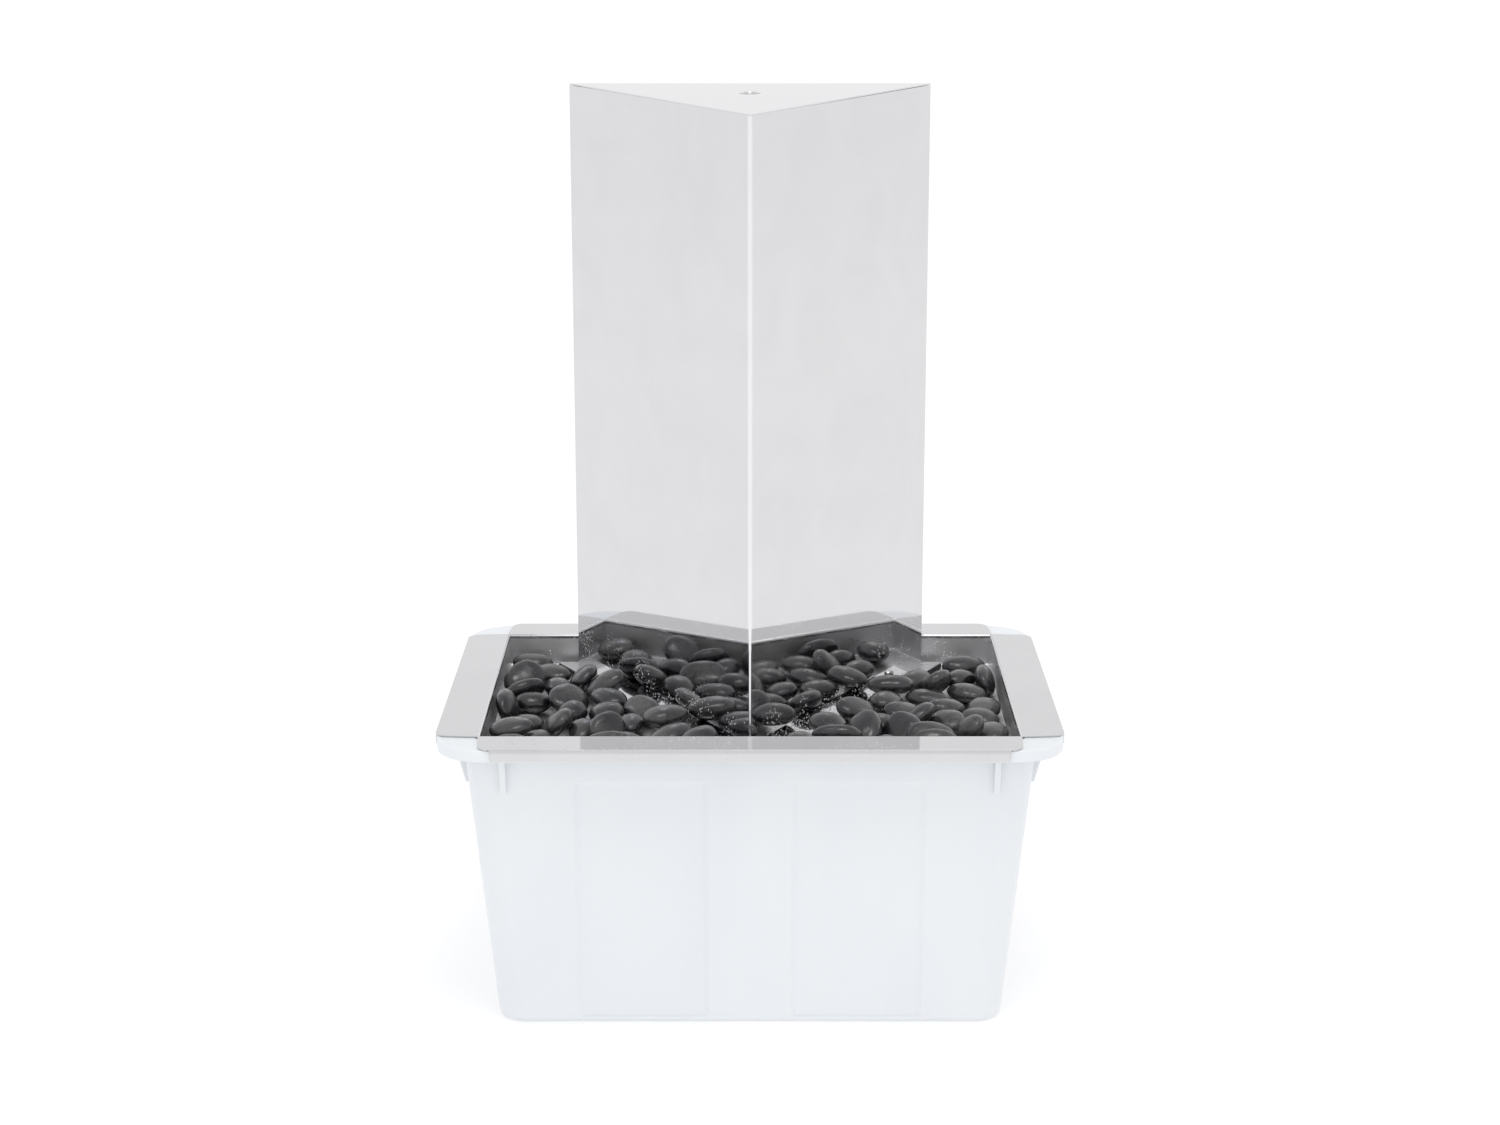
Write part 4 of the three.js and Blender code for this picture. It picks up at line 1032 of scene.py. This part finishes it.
# %% Loose stones: start places
LOOSE_STONES = 40
PER_LAYER = 14
FIRST_DROP = 16
LAYER_DROP = 30
APART = 46 * MM
WALL_ROOM = 19 * MM
loose = []
starts = []
while len(starts) < LOOSE_STONES:
    spot = Vector((draw.uniform(-1, 1) * INNER_X, draw.uniform(-1, 1) * INNER_Y, 0))
    layer = len(starts) // PER_LAYER
    near = [other for other in starts[layer * PER_LAYER:] if (other.xy - spot.xy).length < APART]
    if over_free_floor(spot.x, spot.y, WALL_ROOM) and not near:
        spot.z = RIM + (FIRST_DROP + LAYER_DROP * layer) * MM
        starts.append(spot)
for number, start in enumerate(starts):
    half = (draw.uniform(18, 23) * MM, draw.uniform(13.5, 17) * MM, draw.uniform(7.5, 9.5) * MM)
    where = [draw.uniform(-1, 1) for _ in range(3)]
    stone = loose_stone(f"loose_stone_{number + 1:02d}", half, where)
    stone.location = start
    stone.rotation_euler = (draw.uniform(-0.3, 0.3), draw.uniform(-0.3, 0.3), draw.uniform(0, math.tau))
    loose.append(stone)
print(len(loose), "stones wait above the tray")

# %% [markdown]
# The tray's walls and floor are five plain boxes during the fall, and the frame's stones and the column stand
# still. The simulation is stepped frame by frame, the last places are kept, and the rigid-body world and the
# boxes are taken away again.

# %% Loose stones: drop them
def add_body(piece, kind, shape="CONVEX_HULL"):
    clear()
    bpy.context.view_layer.objects.active = piece
    piece.select_set(True)
    bpy.ops.rigidbody.object_add(type=kind)
    body = piece.rigid_body
    body.collision_shape = shape
    body.use_margin = True
    body.collision_margin = 0.2 * MM
    body.friction = 0.25
    body.restitution = 0.0
    body.mass = 0.03
    body.linear_damping = 0.15
    body.angular_damping = 0.3


SETTLE_FRAMES = 90
FENCE = 50 * MM
FENCE_INSET = 1.5 * MM
bpy.ops.rigidbody.world_add()
physics = bpy.context.scene.rigidbody_world
physics.substeps_per_frame = 12
physics.solver_iterations = 25
physics.point_cache.frame_end = SETTLE_FRAMES
inside = Vector((INNER_X - FENCE_INSET, INNER_Y - FENCE_INSET, RIM + 4 * FENCE))
outside = inside + Vector((FENCE, FENCE, 0))
guards = [box("guard", (inside.x, -outside.y, TRAY_FLOOR), outside),
          box("guard", (-outside.x, -outside.y, TRAY_FLOOR), (-inside.x, outside.y, outside.z)),
          box("guard", (-outside.x, inside.y, TRAY_FLOOR), outside),
          box("guard", (-outside.x, -outside.y, TRAY_FLOOR), (outside.x, -inside.y, outside.z)),
          box("guard", (-outside.x, -outside.y, TRAY_FLOOR - FENCE), (outside.x, outside.y, TRAY_FLOOR))]
for piece in guards + bed:
    add_body(piece, "PASSIVE")
add_body(column, "PASSIVE", "MESH")
for stone in loose:
    add_body(stone, "ACTIVE")
for frame_number in range(1, SETTLE_FRAMES + 1):
    bpy.context.scene.frame_set(frame_number)
settled = [stone.matrix_world.copy() for stone in loose]
bpy.ops.rigidbody.world_remove()
bpy.context.scene.frame_set(1)
for piece in guards:
    bpy.data.objects.remove(piece)
for stone, turned in zip(loose, settled):
    stone.matrix_world = Matrix.Identity(4)
    stone.data.transform(turned)


# %% [markdown]
# The people who fill such a tray keep the stones level with its rim and leave some steel bare at the back,
# where the falling water can't be seen. So a stone that came to rest too high, or high against the back wall,
# is picked out again.

# %% Loose stones: level the bed
TOO_HIGH = RIM + 3 * MM
HIGH_AT_THE_BACK = RIM - 8 * MM
BACK_ZONE = 70 * MM


def top_of(stone):
    return max(point.co.z for point in stone.data.vertices)


def middle_of(stone):
    return sum((point.co for point in stone.data.vertices), Vector()) / len(stone.data.vertices)


extra = [stone for stone in loose
         if top_of(stone) > TOO_HIGH or (middle_of(stone).y > BACK_ZONE and top_of(stone) > HIGH_AT_THE_BACK)]
loose = [stone for stone in loose if stone not in extra]
for stone in extra:
    bpy.data.objects.remove(stone)
print(len(extra), "stones picked out,", len(loose), "left")

# %% [markdown]
# A river rounds a stone and leaves shallow dents in it. Subdivision gives the coarse shapes their roundness,
# and the finer texture pushes the surface in and out by a fraction of a millimetre.

# %% Stones: fine shapes
DENT_DEPTH = 0.6 * MM


def wear(stone):
    apply_modifier(stone, "SUBSURF", levels=2)
    apply_modifier(stone, "DISPLACE", texture=DENTS, texture_coords="LOCAL", strength=DENT_DEPTH,
                   mid_level=0.5)
    smooth(stone, 180)


for stone, node in zip(bed, pebble_nodes):
    wear(stone)
    place(stone, "tray", PEBBLE_STONE, "river_pebble", node)
for stone in loose:
    wear(stone)
    place(stone, "tray", PEBBLE_STONE, "river_pebble")

# %% [markdown]
# ## The fittings, the pump and the sheets of the column
# These pieces are turned, moulded or bent, and the frame already has their shapes, with sharp edges. A
# real edge is never sharp: even a punched washer has a rounded side. A copy's flat faces are merged into
# whole ones first, and then the Bevel modifier rounds every corner by an amount that suits how the piece
# is made.

# %% Soften the edges of a copy
def softened(node, width, segments=2, angle=32):
    piece = merged_copy(node, node + "_finished")
    edit(piece)
    bpy.ops.mesh.select_all(action="SELECT")
    bpy.ops.mesh.dissolve_limited(angle_limit=math.radians(0.5))
    finish_edit()
    apply_modifier(piece, "BEVEL", width=width, segments=segments, limit_method="ANGLE",
                   angle_limit=math.radians(angle), use_clamp_overlap=True)
    keep_flats_flat(piece, 40)
    return piece


EDGE_OF = {
    "mirror_steel": 0.25 * MM, "bright_steel": 0.25 * MM, "pump_plastic": 0.5 * MM, "black_rubber": 0.5 * MM,
    "impeller_plastic": 0.3 * MM, "magnet_ferrite": 0.4 * MM, "shaft_ceramic": 0.3 * MM,
    "clear_vinyl": 0.3 * MM,
}
body_of = {node: body for body, nodes in frame["record"]["behaviour"]["bodies"].items() for node in nodes}
done = {"tray_pan", "column_shell", "reservoir_tub"} | set(pebble_nodes)
for node, slot_name in slot_of.items():
    if node not in done:
        piece = softened(node, EDGE_OF[slot_name])
        finish = PLATE_STEEL if node == "column_top_plate" else FINISHES[slot_name]
        place(piece, body_of[node], finish, slot_name, node)
